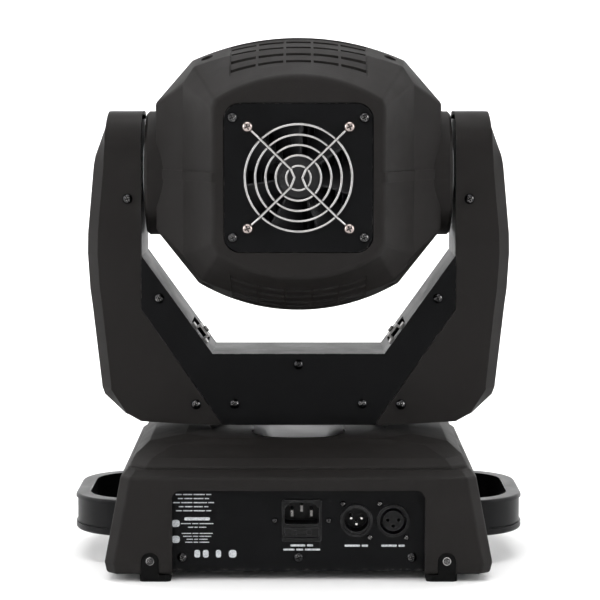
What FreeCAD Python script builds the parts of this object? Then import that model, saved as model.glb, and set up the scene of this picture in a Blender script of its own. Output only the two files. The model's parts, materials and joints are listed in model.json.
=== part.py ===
"""Moving head stage light: base, turning yoke and tilting head, in millimetres.

Origin: on the pan axis, in the plane that the feet stand on.  +Z is up, the
connector panel and the cooling fan face -Y, and the lens faces +Y at rest.
"""
import FreeCAD, Part
import math
import os

V = FreeCAD.Vector
X_AXIS = V(1, 0, 0)
Y_AXIS = V(0, 1, 0)
Z_AXIS = V(0, 0, 1)

# ---------------------------------------------------------------- driving sizes
PIVOT_Z = 283.0           # height of the tilt axis
SHELL_WALL = 2.8          # moulded plastic walls
SHEET = 1.5               # folded steel sheet
FIT = 0.05                # radial clearance of a running fit
GAP = 0.35                # clearance between parts that must not touch
SCREW_HEAD_R = 3.9        # domed heads on the yoke and the rear plate
SCREW_HEAD_H = 2.6
BASE_ROUND = 3.0          # radius along the edges of the base's mouldings
HEAD_ROUND = 5.0          # radius along the edges of the head's mouldings

# base
BASE_HALF_DEPTH = 125.0
BASE_FOOT_Z = 5.0         # underside of the moulded skirt
BASE_BULGE_Z = 13.0       # height of the widest line of the skirt
BASE_RIM_Z = 74.0
BASE_LEDGE_Z = 77.5
BASE_HALF_FOOT = 135.4
BASE_HALF_BULGE = 137.0
BASE_HALF_RIM = 125.2
LID_HALF_X = 120.5
LID_HALF_Y = 108.5
LID_TOP_Z = 94.0
RECESS_R = 67.5           # round recess in the lid, under the yoke
RECESS_FLOOR_Z = 88.5
PANEL_HALF_X = 89.0       # opening round the connector panel
PANEL_TOP_Z = 65.0
PANEL_Y = -117.0          # outer face of the connector panel
PLATE_Z = 6.0             # underside of the steel bottom plate
BRACKET_PITCH_X = 140.0   # bolt pattern for the hanging brackets
BRACKET_PITCH_Y = 106.0
BRACKET_HOLE_R = 3.3
FOOT_X = 101.0
TAB_X = 104.5
TAB_W = 12.4
TAB_TOP_Z = 21.0
FOOT_SCREW_Z = 14.6
BRIDGE_TOP_Z = 62.0

# control panel at the front of the base
CONTROL_Y = 118.0         # outer face of the control plate
CONTROL_HALF_X = 62.0
CONTROL_Z0 = 18.0
CONTROL_Z1 = 62.0
BUTTON_X = (8.0, 21.0, 34.0, 47.0)
BUTTON_Z = 40.0
BUTTON_R = 4.4

# connectors on the rear panel
PANEL_BACK = PANEL_Y + SHEET
IEC_X = 2.3
IEC_Z = 42.4
XLR_IN_X = 40.9
XLR_OUT_X = 66.8
XLR_Z = 42.4
XLR_R = 11.4
PANEL_SCREW_SEATS = [V(-82, PANEL_Y, 16.0), V(0, PANEL_Y, 16.0), V(80, PANEL_Y, 16.0)]
INLET_SCREW_SEATS = [V(IEC_X - 19.0, PANEL_Y, IEC_Z), V(IEC_X + 19.0, PANEL_Y, IEC_Z)]
FOOT_SCREW_SEATS = [V(sx * TAB_X, sy * 124.4, FOOT_SCREW_Z) for sx in (-1, 1) for sy in (-1, 1)]

# handles
HANDLE_X = 165.5
HANDLE_HALF_Y = 67.5
HANDLE_Z0 = 21.0
HANDLE_Z1 = 47.5
HANDLE_CORNER_R = 43.0
HANDLE_WALL = 11.0
HANDLE_BOLT_Y = 60.0
HANDLE_BOLT_R = 2.6       # clearance hole of the handle bolts
HANDLE_BOLT_REACH = 14.0
GROOVE_X = 140.0          # where the grip groove starts
GROOVE_DEPTH = 1.2
GROOVE_Z0 = 26.0
GROOVE_Z1 = 44.5
HANDLE_MID_Z = (HANDLE_Z0 + HANDLE_Z1) / 2
BOSS_X = 124.0            # where the handle bolts seat inside the skirt

# pan bearing
COLLAR_R = 34.0
COLUMN_R = 22.0
COLUMN_BORE_R = 17.0
YOKE_BOTTOM_Z = 98.6
BELT_PITCH = 3.0
PAN_PULLEY_TEETH = 60
PAN_MOTOR_TEETH = 16
PAN_MOTOR_X = 54.0
PAN_BELT_Z = 120.0

# yoke
YOKE_HALF_DEPTH = 38.0
BAND_X = 115.0            # inner face of the arms
BAND_T = 2.0
BEAM_TOP_Z = 151.5
BEAM_HALF_X = 63.2        # where the beam's top turns into the diagonals
DIAGONAL_TOP_Z = 223.4
ARM_TOP_Z = 329.0
ARM_WALL = 2.5
ARM_SCREW_Z = 265.5
BEARING_SPIGOT_R = 17.0
TILT_PULLEY_TEETH = 40
TILT_MOTOR_TEETH = 16
TILT_MOTOR_Z = 215.0
TILT_BELT_X = 121.0
BELT_W = 6.0
BELT_T = 1.5
CABLE_SLOT_SHIFT = 16.0   # from the middle of a diagonal towards the beam
PLATE_SCREWS = [(102.3, 192.5), (-102.3, 192.5), (0, 143.7), (47.1, 114.4), (-47.1, 114.4)]
PLATE_EDGE_X = 115.3
PLATE_EDGE_Z = 184.4
PLATE_FOOT_X = 57.0
COVER_LOW_SCREW = (75.4, 114.0)
COVER_HIGH_SCREW = (125.0, ARM_SCREW_Z)
ARM_FACET_Y = 28.0
ARM_TOP_R = 26.0
# outer edge of an arm cover from the top down: X, Z and the width of its edge facet
ARM_EDGE = [
    (139.0, ARM_TOP_Z + 6.0, 0.0), (141.4, 318.0, 0.5), (145.3, 307.0, 4.0), (149.0, 297.0, 7.0),
    (150.4, 290.0, 8.0), (152.2, 271.6, 8.0), (155.0, 240.0, 8.0), (155.3, 225.0, 8.0),
    (153.7, 199.0, 8.0), (152.0, 186.0, 8.0), (145.3, 126.0, 7.5), (143.4, 120.6, 7.0),
    (128.0, 105.9, 2.0), (116.0, 101.4, 0.0), (84.6, 99.5, 0.0), (PLATE_FOOT_X + 0.3, YOKE_BOTTOM_Z, 0.0),
]

# head, measured from the tilt axis
HUB_X = 112.5
HUB_R = 46.0
HEAD_HALF_X = 104.0
HEAD_TOP = 99.5
HEAD_SPLIT = -2.8
HEAD_REAR_Y = -105.0
HEAD_FRONT_Y = 92.0
TRUNNION_R = 12.0
TRUNNION_BORE_R = 8.0
REAR_PLATE = 104.5
REAR_PLATE_R = 12.0
REAR_PLATE_Y = -104.3
FAN_SIZE = 80.0
FAN_DEPTH = 25.0
FAN_OPENING_R = 38.6
FAN_PITCH = 71.5
GUARD_RINGS = (37.6, 30.3, 23.1, 15.9, 8.6)
GUARD_WIRE_R = 0.9
BEZEL_R = 58.0
BEZEL_FRONT_Y = 124.0
LENS_R = 49.6
PLATE_CENTRE_Z = PIVOT_Z + 0.5
PLATE_SCREW_X = 46.25
PLATE_SCREW_Z = 42.1
FAN_FRONT_Y = REAR_PLATE_Y + 2.0
FAN_BLADES = 7
FAN_HUB_R = 15.0
VENT_HALF_X = 49.0
VENT_ROWS = (-48.0, -59.5, -70.5, -81.0)
VENT_SLOT = 3.6
PIT_X = 66.0
PIT_Y = 50.0
PIT_R = 4.4
PIT_FLOOR_Z = 70.0
# the head's cross sections from rear to front: Y and side half width, then for the
# upper and the lower half: side height, shoulder X, shoulder Z, height of the crown
HEAD_RINGS = [
    (HEAD_REAR_Y, 60.5, (49.0, 58.5, 54.5, 72.0), (46.0, 57.0, 53.0, 71.0)),
    (-62.0, 83.0, (66.0, 75.0, 78.5, 92.0), (57.0, 70.0, 75.0, 91.0)),
    (-40.0, HEAD_HALF_X, (52.0, 77.0, 83.0, HEAD_TOP), (40.0, 73.0, 79.0, HEAD_TOP - 0.5)),
    (40.0, HEAD_HALF_X, (52.0, 77.0, 83.0, HEAD_TOP), (40.0, 73.0, 79.0, HEAD_TOP - 0.5)),
    (62.0, 83.0, (66.0, 75.0, 78.5, 92.0), (57.0, 70.0, 75.0, 91.0)),
    (HEAD_FRONT_Y, 64.0, (50.0, 58.0, 58.0, 70.0), (47.0, 57.0, 57.0, 69.0)),
]

# optics inside the head
CHASSIS_Z = 56.0
CHASSIS_LOW_Z = 51.0      # underside of the lower deck, below the tilt axis
WHEEL_BRACKET_Y = -26.0
COLOR_WHEEL_Y = -4.0
GOBO_WHEEL_Y = 4.0
WHEEL_X = 38.0
WHEEL_R = 49.0
COLOR_HOLES = 8
GOBO_HOLES = 7
FILTER_R = 10.5
FOCUS_BRACKET_Y = 13.0
FOCUS_Y = 40.0
RAIL_Z = 38.0
RAIL_R = 3.0


# --------------------------------------------------------------- shape helpers
def box(x0, x1, y0, y1, z0, z1):
    """Box between two corners."""
    return Part.makeBox(x1 - x0, y1 - y0, z1 - z0, V(x0, y0, z0))


def cylinder(centre, axis, radius, length):
    """Cylinder that starts at centre and runs along axis."""
    return Part.makeCylinder(radius, length, centre, axis)


def tube(centre, axis, outer, inner, length):
    """Cylinder with a bore through it."""
    return cylinder(centre, axis, outer, length).cut(cylinder(centre, axis, inner, length))


def fuse(shapes):
    """Union of a list of solids."""
    result = shapes[0]
    for shape in shapes[1:]:
        result = result.fuse(shape)
    return result.removeSplitter()


def group(shapes):
    """Separate solids kept side by side in one node."""
    return Part.makeCompound(shapes)


def mirror_x(shape):
    """Mirror image on the other side of the YZ plane."""
    return shape.mirror(V(0, 0, 0), X_AXIS)


def mirror_y(shape):
    """Mirror image on the other side of the XZ plane."""
    return shape.mirror(V(0, 0, 0), Y_AXIS)


def polygon_xy(points, z):
    """Closed wire in a level plane."""
    corners = [V(x, y, z) for x, y in points]
    return Part.makePolygon(corners + corners[:1])


def polygon_xz(points, y):
    """Closed wire in an upright plane across the object."""
    corners = [V(x, y, z) for x, z in points]
    return Part.makePolygon(corners + corners[:1])


def prism_y(points, y0, y1):
    """Outline given in X and Z, extruded along Y."""
    return Part.Face(polygon_xz(points, y0)).extrude(V(0, y1 - y0, 0))


def prism_z(points, z0, z1):
    """Outline given in X and Y, extruded along Z."""
    return Part.Face(polygon_xy(points, z0)).extrude(V(0, 0, z1 - z0))


def loft(wires):
    """Solid with straight facets between outlines."""
    return Part.makeLoft(wires, True, True)


def softened(solid, radius, chosen=None):
    """Solid with its moulded edges rounded; chosen picks them, and all are rounded without it."""
    edges = [edge for edge in solid.Edges if chosen is None or chosen(edge)]
    return solid.makeFillet(radius, edges)


def rounded_box_y(cx, cz, width, height, radius, y0, y1):
    """Box with rounded corners, extruded along Y."""
    half_x = width / 2
    half_z = height / 2
    solid = box(cx - half_x, cx + half_x, y0, y1, cz - half_z, cz + half_z)
    edges = [edge for edge in solid.Edges if abs(edge.tangentAt(edge.FirstParameter).y) > 0.9]
    return solid.makeFillet(radius, edges)


def chamfered_rectangle(half_x, half_y, corner):
    """Corner points of a rectangle with cut corners."""
    return [
        (half_x, -half_y + corner), (half_x, half_y - corner),
        (half_x - corner, half_y), (-half_x + corner, half_y),
        (-half_x, half_y - corner), (-half_x, -half_y + corner),
        (-half_x + corner, -half_y), (half_x - corner, -half_y),
    ]


def pitch_radius(teeth):
    """Pitch radius of a timing pulley."""
    return teeth * BELT_PITCH / (2 * math.pi)


def pan_head_screw(head_seat, outward, head_r, head_h, shank_r, shank_length):
    """Domed cross-recess screw whose head stands on head_seat."""
    dome_r = (head_r ** 2 + head_h ** 2) / (2 * head_h)
    ball = Part.makeSphere(dome_r, head_seat + outward * (head_h - dome_r))
    head = ball.common(cylinder(head_seat, outward, head_r, head_h + 1))
    slot = Part.makeBox(head_r * 1.15, head_r * 0.24, head_h)
    slot.translate(V(-head_r * 0.575, -head_r * 0.12, 0))
    cross = slot.fuse(slot.rotated(V(0, 0, 0), Z_AXIS, 90))
    cross.rotate(V(0, 0, 0), Z_AXIS, 25)
    turn = FreeCAD.Rotation(Z_AXIS, outward)
    cross.Placement = FreeCAD.Placement(head_seat + outward * head_h * 0.45, turn).multiply(cross.Placement)
    shank = cylinder(head_seat, outward * -1, shank_r, shank_length)
    return head.cut(cross).fuse(shank)


def screw_holes(seats, outward, radius, depth):
    """Clearance holes under a set of screws."""
    return [cylinder(seat + outward * 5, outward * -1, radius, depth + 5) for seat in seats]


def cut_all(shape, tools):
    """Shape with every tool taken out of it."""
    for tool in tools:
        shape = shape.cut(tool)
    return shape


def belt_loop(centre_a, radius_a, centre_b, radius_b, axis, width):
    """Flat belt round two pulleys; centres lie on the belt's lower edge plane."""
    def sleeve(radius_1, radius_2):
        """Solid filled loop at the given radii."""
        span = centre_b - centre_a
        length = span.Length
        along = V(span).normalize()
        across = axis.cross(along)
        lean = math.asin((radius_1 - radius_2) / length)
        side = []
        for sign in (1, -1):
            normal = along * math.sin(lean) + across * (sign * math.cos(lean))
            side.append((centre_a + normal * radius_1, centre_b + normal * radius_2))
        corners = [side[0][0], side[0][1], side[1][1], side[1][0]]
        strip = Part.Face(Part.makePolygon(corners + corners[:1])).extrude(axis * width)
        ends = [cylinder(centre_a, axis, radius_1, width), cylinder(centre_b, axis, radius_2, width)]
        return fuse([strip] + ends)

    outer = sleeve(radius_a + BELT_T, radius_b + BELT_T)
    return outer.cut(sleeve(radius_a, radius_b))


def timing_pulley(centre, axis, teeth, width, bore_r, flange=1.2):
    """Toothed pulley with two flanges; the toothed part starts at centre."""
    radius = pitch_radius(teeth) - 0.4
    blank = cylinder(centre, axis, radius, width)
    start = V(axis.y, axis.z, axis.x)
    for index in range(teeth):
        turn = FreeCAD.Rotation(axis, index * 360.0 / teeth)
        place = centre + turn.multVec(start) * (radius + 0.1)
        blank = blank.cut(cylinder(place, axis, 0.7, width))
    rims = [
        cylinder(centre - axis * flange, axis, radius + 1.6, flange),
        cylinder(centre + axis * width, axis, radius + 1.6, flange),
    ]
    whole = fuse([blank] + rims)
    return whole.cut(cylinder(centre - axis * 5, axis, bore_r, width + 10))


# ------------------------------------------------------------------------- base
def skirt_solid(inset):
    """Moulded skirt of the base, shrunk by inset all round."""
    rings = [
        (BASE_FOOT_Z - inset, BASE_HALF_FOOT, BASE_HALF_DEPTH - 1.2),
        (BASE_BULGE_Z, BASE_HALF_BULGE, BASE_HALF_DEPTH),
        (BASE_RIM_Z - inset, BASE_HALF_RIM, BASE_HALF_DEPTH),
        (BASE_LEDGE_Z - inset, LID_HALF_X + 1.4, LID_HALF_Y + 4.5),
    ]
    wires = []
    for z, half_x, half_y in rings:
        wires.append(polygon_xy(chamfered_rectangle(half_x - inset, half_y - inset, 7.0), z))
    return loft(wires)


def skirt_surface():
    """Outside of the skirt with rounded edges, filled."""
    return softened(skirt_solid(0), BASE_ROUND)


def lid_solid(inset):
    """Faceted lid of the base, shrunk by inset all round."""
    rings = [
        (BASE_RIM_Z - 2.0 - inset, LID_HALF_X, LID_HALF_Y, 12.0),
        (BASE_LEDGE_Z + 1.5, LID_HALF_X, LID_HALF_Y, 12.0),
        (84.0 - inset * 0.5, LID_HALF_X - 2.5, LID_HALF_Y - 9.0, 14.0),
        (90.5 - inset, LID_HALF_X - 12.0, LID_HALF_Y - 30.0, 18.0),
        (LID_TOP_Z - inset, LID_HALF_X - 38.0, LID_HALF_Y - 37.5, 22.0),
    ]
    wires = []
    for z, half_x, half_y, corner in rings:
        wires.append(polygon_xy(chamfered_rectangle(half_x - inset, half_y - inset, corner), z))
    return loft(wires)


def lid_surface():
    """Outside of the lid with rounded edges above the ledge, filled."""
    return softened(lid_solid(0), BASE_ROUND, lambda edge: edge.CenterOfMass.z > BASE_LEDGE_Z)


def tab_arch(width, y0, y1):
    """Upright tab with a round top, as seen from behind, on the +X side."""
    spring_z = TAB_TOP_Z - width / 2
    post = box(TAB_X - width / 2, TAB_X + width / 2, y0, y1, BASE_FOOT_Z - 2, spring_z)
    return post.fuse(cylinder(V(TAB_X, y0, spring_z), Y_AXIS, width / 2, y1 - y0))


def make_base_cover_lower():
    """Skirt shell, open below, with openings for both panels and the feet."""
    skirt = skirt_surface()
    shell = skirt.cut(skirt_solid(SHELL_WALL))
    shell = shell.cut(box(-140, 140, -130, 130, 0, BASE_FOOT_Z))
    frame_x = PANEL_HALF_X + 2.5
    rear_frame = box(-frame_x, frame_x, -122.6, PANEL_Y - 0.2, BASE_FOOT_Z, PANEL_TOP_Z + 2.5)
    front_frame = box(
        -CONTROL_HALF_X - 2.5, CONTROL_HALF_X + 2.5, 118.0, 122.6, CONTROL_Z0 - 2.5, CONTROL_Z1 + 2.5
    )
    shell = shell.fuse(rear_frame).fuse(front_frame)
    rear_opening = rounded_box_y(
        0, PANEL_TOP_Z / 2 - 10, 2 * PANEL_HALF_X, PANEL_TOP_Z + 20, 6.0, -130, PANEL_Y + 1
    )
    front_opening = rounded_box_y(
        0, (CONTROL_Z0 + CONTROL_Z1) / 2, 2 * CONTROL_HALF_X, CONTROL_Z1 - CONTROL_Z0, 4.0, 115, 130
    )
    lid_hole = prism_z(
        chamfered_rectangle(LID_HALF_X + 0.3, LID_HALF_Y + 0.3, 12.0), BASE_RIM_Z - 6, BASE_LEDGE_Z + 5
    )
    shell = cut_all(shell, [rear_opening, front_opening, lid_hole])
    notch = tab_arch(TAB_W + 0.6, -130, -120)
    for tool in (notch, mirror_x(notch), mirror_y(notch), mirror_x(mirror_y(notch))):
        shell = shell.cut(tool)
    for sign_x in (-1, 1):
        for y in (-HANDLE_BOLT_Y, HANDLE_BOLT_Y):
            boss = cylinder(V(sign_x * BOSS_X, y, HANDLE_MID_Z), V(sign_x, 0, 0), 6.0, 20).common(skirt)
            bore = cylinder(V(sign_x * (BOSS_X - 1), y, HANDLE_MID_Z), V(sign_x, 0, 0), 2.6, 30)
            shell = shell.fuse(boss).cut(bore)
    return shell


def make_base_cover_upper():
    """Lid with the round recess and the hole for the pan collar."""
    lid = lid_surface()
    shell = lid.cut(lid_solid(SHELL_WALL))
    shell = shell.cut(box(-140, 140, -130, 130, 60, BASE_RIM_Z - 1.2))
    dish_floor = cylinder(V(0, 0, RECESS_FLOOR_Z - SHELL_WALL), Z_AXIS, RECESS_R + SHELL_WALL, SHELL_WALL)
    dish_wall = tube(
        V(0, 0, RECESS_FLOOR_Z - SHELL_WALL), Z_AXIS, RECESS_R + SHELL_WALL, RECESS_R,
        LID_TOP_Z - RECESS_FLOOR_Z
    )
    shell = shell.fuse(dish_floor.common(lid)).fuse(dish_wall.common(lid))
    shell = shell.cut(cylinder(V(0, 0, RECESS_FLOOR_Z), Z_AXIS, RECESS_R, 20))
    shell = shell.cut(cylinder(V(0, 0, 60), Z_AXIS, COLLAR_R + 1.0, 40))
    return shell.removeSplitter()


def make_base_floor():
    """Steel bottom plate with vents and the holes for the hanging brackets."""
    floor = prism_z(chamfered_rectangle(131.0, -PANEL_Y - 0.2, 12.0), PLATE_Z, PLATE_Z + SHEET)
    holes = []
    for sign_x in (-1, 1):
        for sign_y in (-1, 1):
            centre = V(sign_x * BRACKET_PITCH_X / 2, sign_y * BRACKET_PITCH_Y / 2, 0)
            holes.append(cylinder(centre, Z_AXIS, BRACKET_HOLE_R, 20))
    vent = box(-1.5, 1.5, -14, 14, 0, 20)
    for index in range(9):
        for x in (-100, 100):
            slot = vent.copy()
            slot.translate(V(x + (index - 4) * 6 * (1 if x > 0 else -1), 0, 0))
            holes.append(slot)
    return cut_all(floor, holes)


def make_rear_panel():
    """Steel connector panel with a foot flange on the bottom plate."""
    half = PANEL_HALF_X + 6
    plate = box(-half, half, PANEL_Y, PANEL_BACK, PLATE_Z + SHEET, PANEL_TOP_Z + 4)
    flange = box(-half, half, PANEL_BACK, PANEL_BACK + 10, PLATE_Z + SHEET, PLATE_Z + 2 * SHEET)
    return plate.fuse(flange).removeSplitter()


def make_iec_inlet():
    """Mains inlet with three blades, set into the panel from outside."""
    bezel = rounded_box_y(IEC_X, IEC_Z, 28.0, 29.6, 1.5, PANEL_Y - 1.6, PANEL_Y)
    body = box(IEC_X - 13.4, IEC_X + 13.4, PANEL_Y, -92.0, IEC_Z - 14.0, IEC_Z + 14.0)
    ears = rounded_box_y(IEC_X, IEC_Z, 48.0, 12.0, 5.0, PANEL_BACK, PANEL_BACK + 1.6)
    whole = fuse([bezel, body, ears])
    top = IEC_Z + 13.2
    socket = [
        (IEC_X - 12.2, top - 4.2), (IEC_X - 7.6, top), (IEC_X + 7.6, top), (IEC_X + 12.2, top - 4.2),
        (IEC_X + 12.2, top - 14.2), (IEC_X + 10.8, top - 15.6), (IEC_X - 10.8, top - 15.6),
        (IEC_X - 12.2, top - 14.2),
    ]
    whole = whole.cut(prism_y(socket, -125, -102))
    drawer_bay = box(IEC_X - 12.35, IEC_X + 12.35, -125, -98, IEC_Z - 12.15, IEC_Z - 4.65)
    whole = whole.cut(drawer_bay)
    blades = []
    for dx, dz in ((-6.8, 5.0), (0, 8.4), (6.8, 5.0)):
        x, z = IEC_X + dx, IEC_Z + dz
        blades.append(box(x - 0.9, x + 0.9, -116.0, -96.0, z - 2.2, z + 2.2))
        whole = whole.cut(box(x - 0.92, x + 0.92, -110.0, -95.9, z - 2.22, z + 2.22))
    return group([whole] + blades)


def make_fuse_drawer():
    """Pull-out fuse carrier with a grip groove and a raised fuse outline."""
    front = box(IEC_X - 12.0, IEC_X + 12.0, -119.0, -99.0, IEC_Z - 11.8, IEC_Z - 5.0)
    hollow = box(IEC_X - 10.0, IEC_X + 10.0, -115.5, -100.5, IEC_Z - 10.3, IEC_Z - 4.0)
    grip = box(IEC_X - 9.0, IEC_X + 9.0, -120.0, -118.0, IEC_Z - 12.0, IEC_Z - 11.0)
    caps = [
        box(IEC_X - 7.0, IEC_X - 3.6, -119.3, -118.5, IEC_Z - 9.6, IEC_Z - 6.4),
        box(IEC_X + 3.6, IEC_X + 7.0, -119.3, -118.5, IEC_Z - 9.6, IEC_Z - 6.4),
        box(IEC_X - 3.6, IEC_X + 3.6, -119.3, -118.5, IEC_Z - 8.5, IEC_Z - 7.5),
    ]
    return fuse([front.cut(hollow).cut(grip)] + caps)


def xlr_shell(x):
    """Body and rear flange shared by both signal connectors."""
    ring = cylinder(V(x, PANEL_Y - 2.4, XLR_Z), Y_AXIS, XLR_R, 24.0)
    flange = rounded_box_y(x, XLR_Z, 25.6, 31.0, 2.5, PANEL_BACK, PANEL_BACK + 1.6)
    return fuse([ring, flange])


def make_xlr_input():
    """Three-pin plug connector: pins stand in a deep cup."""
    cup = cylinder(V(XLR_IN_X, PANEL_Y - 3, XLR_Z + 0.6), Y_AXIS, 8.6, 17.0)
    lip = cylinder(V(XLR_IN_X, PANEL_Y - 3, XLR_Z), Y_AXIS, 10.2, 2.2)
    shell = xlr_shell(XLR_IN_X).cut(cup).cut(lip)
    pins = []
    for dx, dz in ((-3.8, 1.6), (3.8, 1.6), (0, -2.6)):
        tip = V(XLR_IN_X + dx, PANEL_Y + 0.5, XLR_Z + dz)
        rod = cylinder(tip, Y_AXIS, 1.2, 19.0)
        pins.append(rod.fuse(Part.makeSphere(1.2, tip)))
        shell = shell.cut(cylinder(tip, Y_AXIS, 1.22, 19.0))
    return group([shell] + pins)


def make_xlr_output():
    """Three-hole socket connector: a round insert stands in the ring."""
    groove = tube(V(XLR_OUT_X, PANEL_Y - 3, XLR_Z), Y_AXIS, 9.4, 7.2, 14.0)
    face = cylinder(V(XLR_OUT_X, PANEL_Y - 3, XLR_Z), Y_AXIS, 9.4, 1.6)
    body = xlr_shell(XLR_OUT_X).cut(groove).cut(face)
    for dx, dz in ((-3.9, 0.6), (3.9, 0.6), (0, -3.7)):
        body = body.cut(cylinder(V(XLR_OUT_X + dx, PANEL_Y - 3, XLR_Z + dz), Y_AXIS, 1.3, 12.0))
    return body


for socket_x in (XLR_IN_X, XLR_OUT_X):
    INLET_SCREW_SEATS.append(V(socket_x - 9.5, PANEL_Y, XLR_Z + 12.0))
    INLET_SCREW_SEATS.append(V(socket_x + 9.5, PANEL_Y, XLR_Z - 12.0))


def make_panel_screws():
    """Screws of the panel and of the three connectors."""
    large = [pan_head_screw(seat, V(0, -1, 0), 3.7, 2.4, 1.45, 6.0) for seat in PANEL_SCREW_SEATS]
    small = [pan_head_screw(seat, V(0, -1, 0), 2.2, 1.5, 1.2, 5.0) for seat in INLET_SCREW_SEATS]
    return large + small


def make_foot():
    """Rubber foot at the +X, -Y corner with an upright screw tab."""
    pad = box(FOOT_X - 11, FOOT_X + 11, -124.0, -100.0, 0, BASE_FOOT_Z - 0.2)
    edges = [edge for edge in pad.Edges if abs(edge.tangentAt(edge.FirstParameter).z) > 0.9]
    pad = pad.makeFillet(4.0, edges)
    neck = box(FOOT_X - 8, FOOT_X + 8, -116.0, -104.0, 1.0, PLATE_Z)
    tab = tab_arch(TAB_W, -124.4, -121.0)
    return pad.fuse(neck).fuse(tab).removeSplitter()


def make_feet():
    """Four rubber feet."""
    foot = make_foot()
    return group([foot, mirror_x(foot), mirror_y(foot), mirror_x(mirror_y(foot))])


def make_foot_screws():
    """Screws in the upright tabs of the feet."""
    return [
        pan_head_screw(seat, V(0, -1 if seat.y < 0 else 1, 0), 2.9, 0.55, 1.4, 8.0)
        for seat in FOOT_SCREW_SEATS
    ]


def handle_outline(shrink):
    """Plan outline of the handle's outside, as a face at z = 0."""
    reach = HANDLE_X - shrink
    half = HANDLE_HALF_Y - shrink
    radius = HANDLE_CORNER_R - shrink
    bend = radius * (1 - math.sqrt(0.5))
    start = 118.0
    low = Part.LineSegment(V(start, -half, 0), V(reach - radius, -half, 0))
    corner_a = Part.Arc(
        V(reach - radius, -half, 0), V(reach - bend, -half + bend, 0), V(reach, -half + radius, 0)
    )
    side = Part.LineSegment(V(reach, -half + radius, 0), V(reach, half - radius, 0))
    corner_b = Part.Arc(
        V(reach, half - radius, 0), V(reach - bend, half - bend, 0), V(reach - radius, half, 0)
    )
    high = Part.LineSegment(V(reach - radius, half, 0), V(start, half, 0))
    back = Part.LineSegment(V(start, half, 0), V(start, -half, 0))
    edges = [curve.toShape() for curve in (low, corner_a, side, corner_b, high, back)]
    return Part.Face(Part.Wire(edges))


def slab(face, z0, z1):
    """Face at z = 0 extruded between two heights."""
    lifted = face.copy()
    lifted.translate(V(0, 0, z0))
    return lifted.extrude(V(0, 0, z1 - z0))


def make_handle():
    """Carrying loop on the +X side with a groove round its rim."""
    loop = slab(handle_outline(0), HANDLE_Z0, HANDLE_Z1)
    rims = [
        edge for edge in loop.Edges
        if abs(edge.tangentAt(edge.FirstParameter).z) < 0.1 and edge.CenterOfMass.x > 125
    ]
    loop = loop.makeFillet(2.0, rims)
    loop = loop.cut(slab(handle_outline(HANDLE_WALL), HANDLE_Z0 - 1, HANDLE_Z1 + 1))
    groove = slab(handle_outline(-5), GROOVE_Z0, GROOVE_Z1)
    groove = groove.cut(slab(handle_outline(GROOVE_DEPTH), HANDLE_Z0, HANDLE_Z1))
    groove = groove.cut(box(100, GROOVE_X, -80, 80, 0, 80))
    loop = loop.cut(groove).cut(skirt_surface())
    for y in (-HANDLE_BOLT_Y, HANDLE_BOLT_Y):
        loop = loop.cut(cylinder(V(BOSS_X, y, HANDLE_MID_Z), X_AXIS, HANDLE_BOLT_R, HANDLE_BOLT_REACH))
    return loop


def make_handle_bolts():
    """Bolts that hold both handles from inside the skirt."""
    bolts = []
    for sign_x in (-1, 1):
        for y in (-HANDLE_BOLT_Y, HANDLE_BOLT_Y):
            seat = V(sign_x * BOSS_X, y, HANDLE_MID_Z)
            bolts.append(pan_head_screw(seat, V(-sign_x, 0, 0), 4.6, 2.8, 2.4, HANDLE_BOLT_REACH - 1.0))
    return bolts


def make_control_panel():
    """Plate at the front with a display window and four button holes."""
    plate = rounded_box_y(
        0, (CONTROL_Z0 + CONTROL_Z1) / 2, 2 * CONTROL_HALF_X - 0.6, CONTROL_Z1 - CONTROL_Z0 - 0.6, 3.7,
        CONTROL_Y - 2.5, CONTROL_Y + 1.0
    )
    window = rounded_box_y(-28.0, 40.0, 50.4, 24.4, 2.2, CONTROL_Y - 5, CONTROL_Y + 5)
    plate = plate.cut(window)
    for x in BUTTON_X:
        plate = plate.cut(cylinder(V(x, CONTROL_Y - 5, BUTTON_Z), Y_AXIS, BUTTON_R + 0.25, 10))
    return plate


def make_display_window():
    """Tinted window over the display."""
    return rounded_box_y(-28.0, 40.0, 50.0, 24.0, 2.0, CONTROL_Y - 2.5, CONTROL_Y + 0.6)


def make_display_board():
    """Circuit board behind the control plate, with display and key switches."""
    board = box(-58, 58, CONTROL_Y - 10.6, CONTROL_Y - 9.0, 22, 58)
    display = box(-52, -4, CONTROL_Y - 9.0, CONTROL_Y - 2.8, 29, 51)
    parts = [board, display]
    for x in BUTTON_X:
        parts.append(box(x - 3, x + 3, CONTROL_Y - 9.0, CONTROL_Y - 5.2, BUTTON_Z - 3, BUTTON_Z + 3))
    return fuse(parts)


def make_button(x):
    """Round push button with a dished top and a retaining collar."""
    stem = cylinder(V(x, CONTROL_Y - 2.9, BUTTON_Z), Y_AXIS, BUTTON_R, 5.9)
    collar = cylinder(V(x, CONTROL_Y - 3.8, BUTTON_Z), Y_AXIS, BUTTON_R + 1.0, 1.0)
    dish = Part.makeSphere(14.0, V(x, CONTROL_Y + 3.0 + 13.4, BUTTON_Z))
    return fuse([stem, collar]).cut(dish)


def make_power_supply():
    """Vented switching supply on the bottom plate."""
    z0 = PLATE_Z + SHEET
    case = box(-120, -62, -72, 72, z0, z0 + 34)
    case = case.cut(box(-118.8, -63.2, -70.8, 70.8, z0 + 1.2, z0 + 32.8))
    core = box(-112, -70, -60, 60, z0 + 1.2, z0 + 20)
    holes = []
    for index in range(8):
        y = -56 + index * 16
        holes.append(box(-125, -55, y - 1.5, y + 1.5, z0 + 22, z0 + 30))
        holes.append(box(-110, -72, y - 1.5, y + 1.5, z0 + 30, z0 + 40))
    return cut_all(case, holes).fuse(core)


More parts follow.
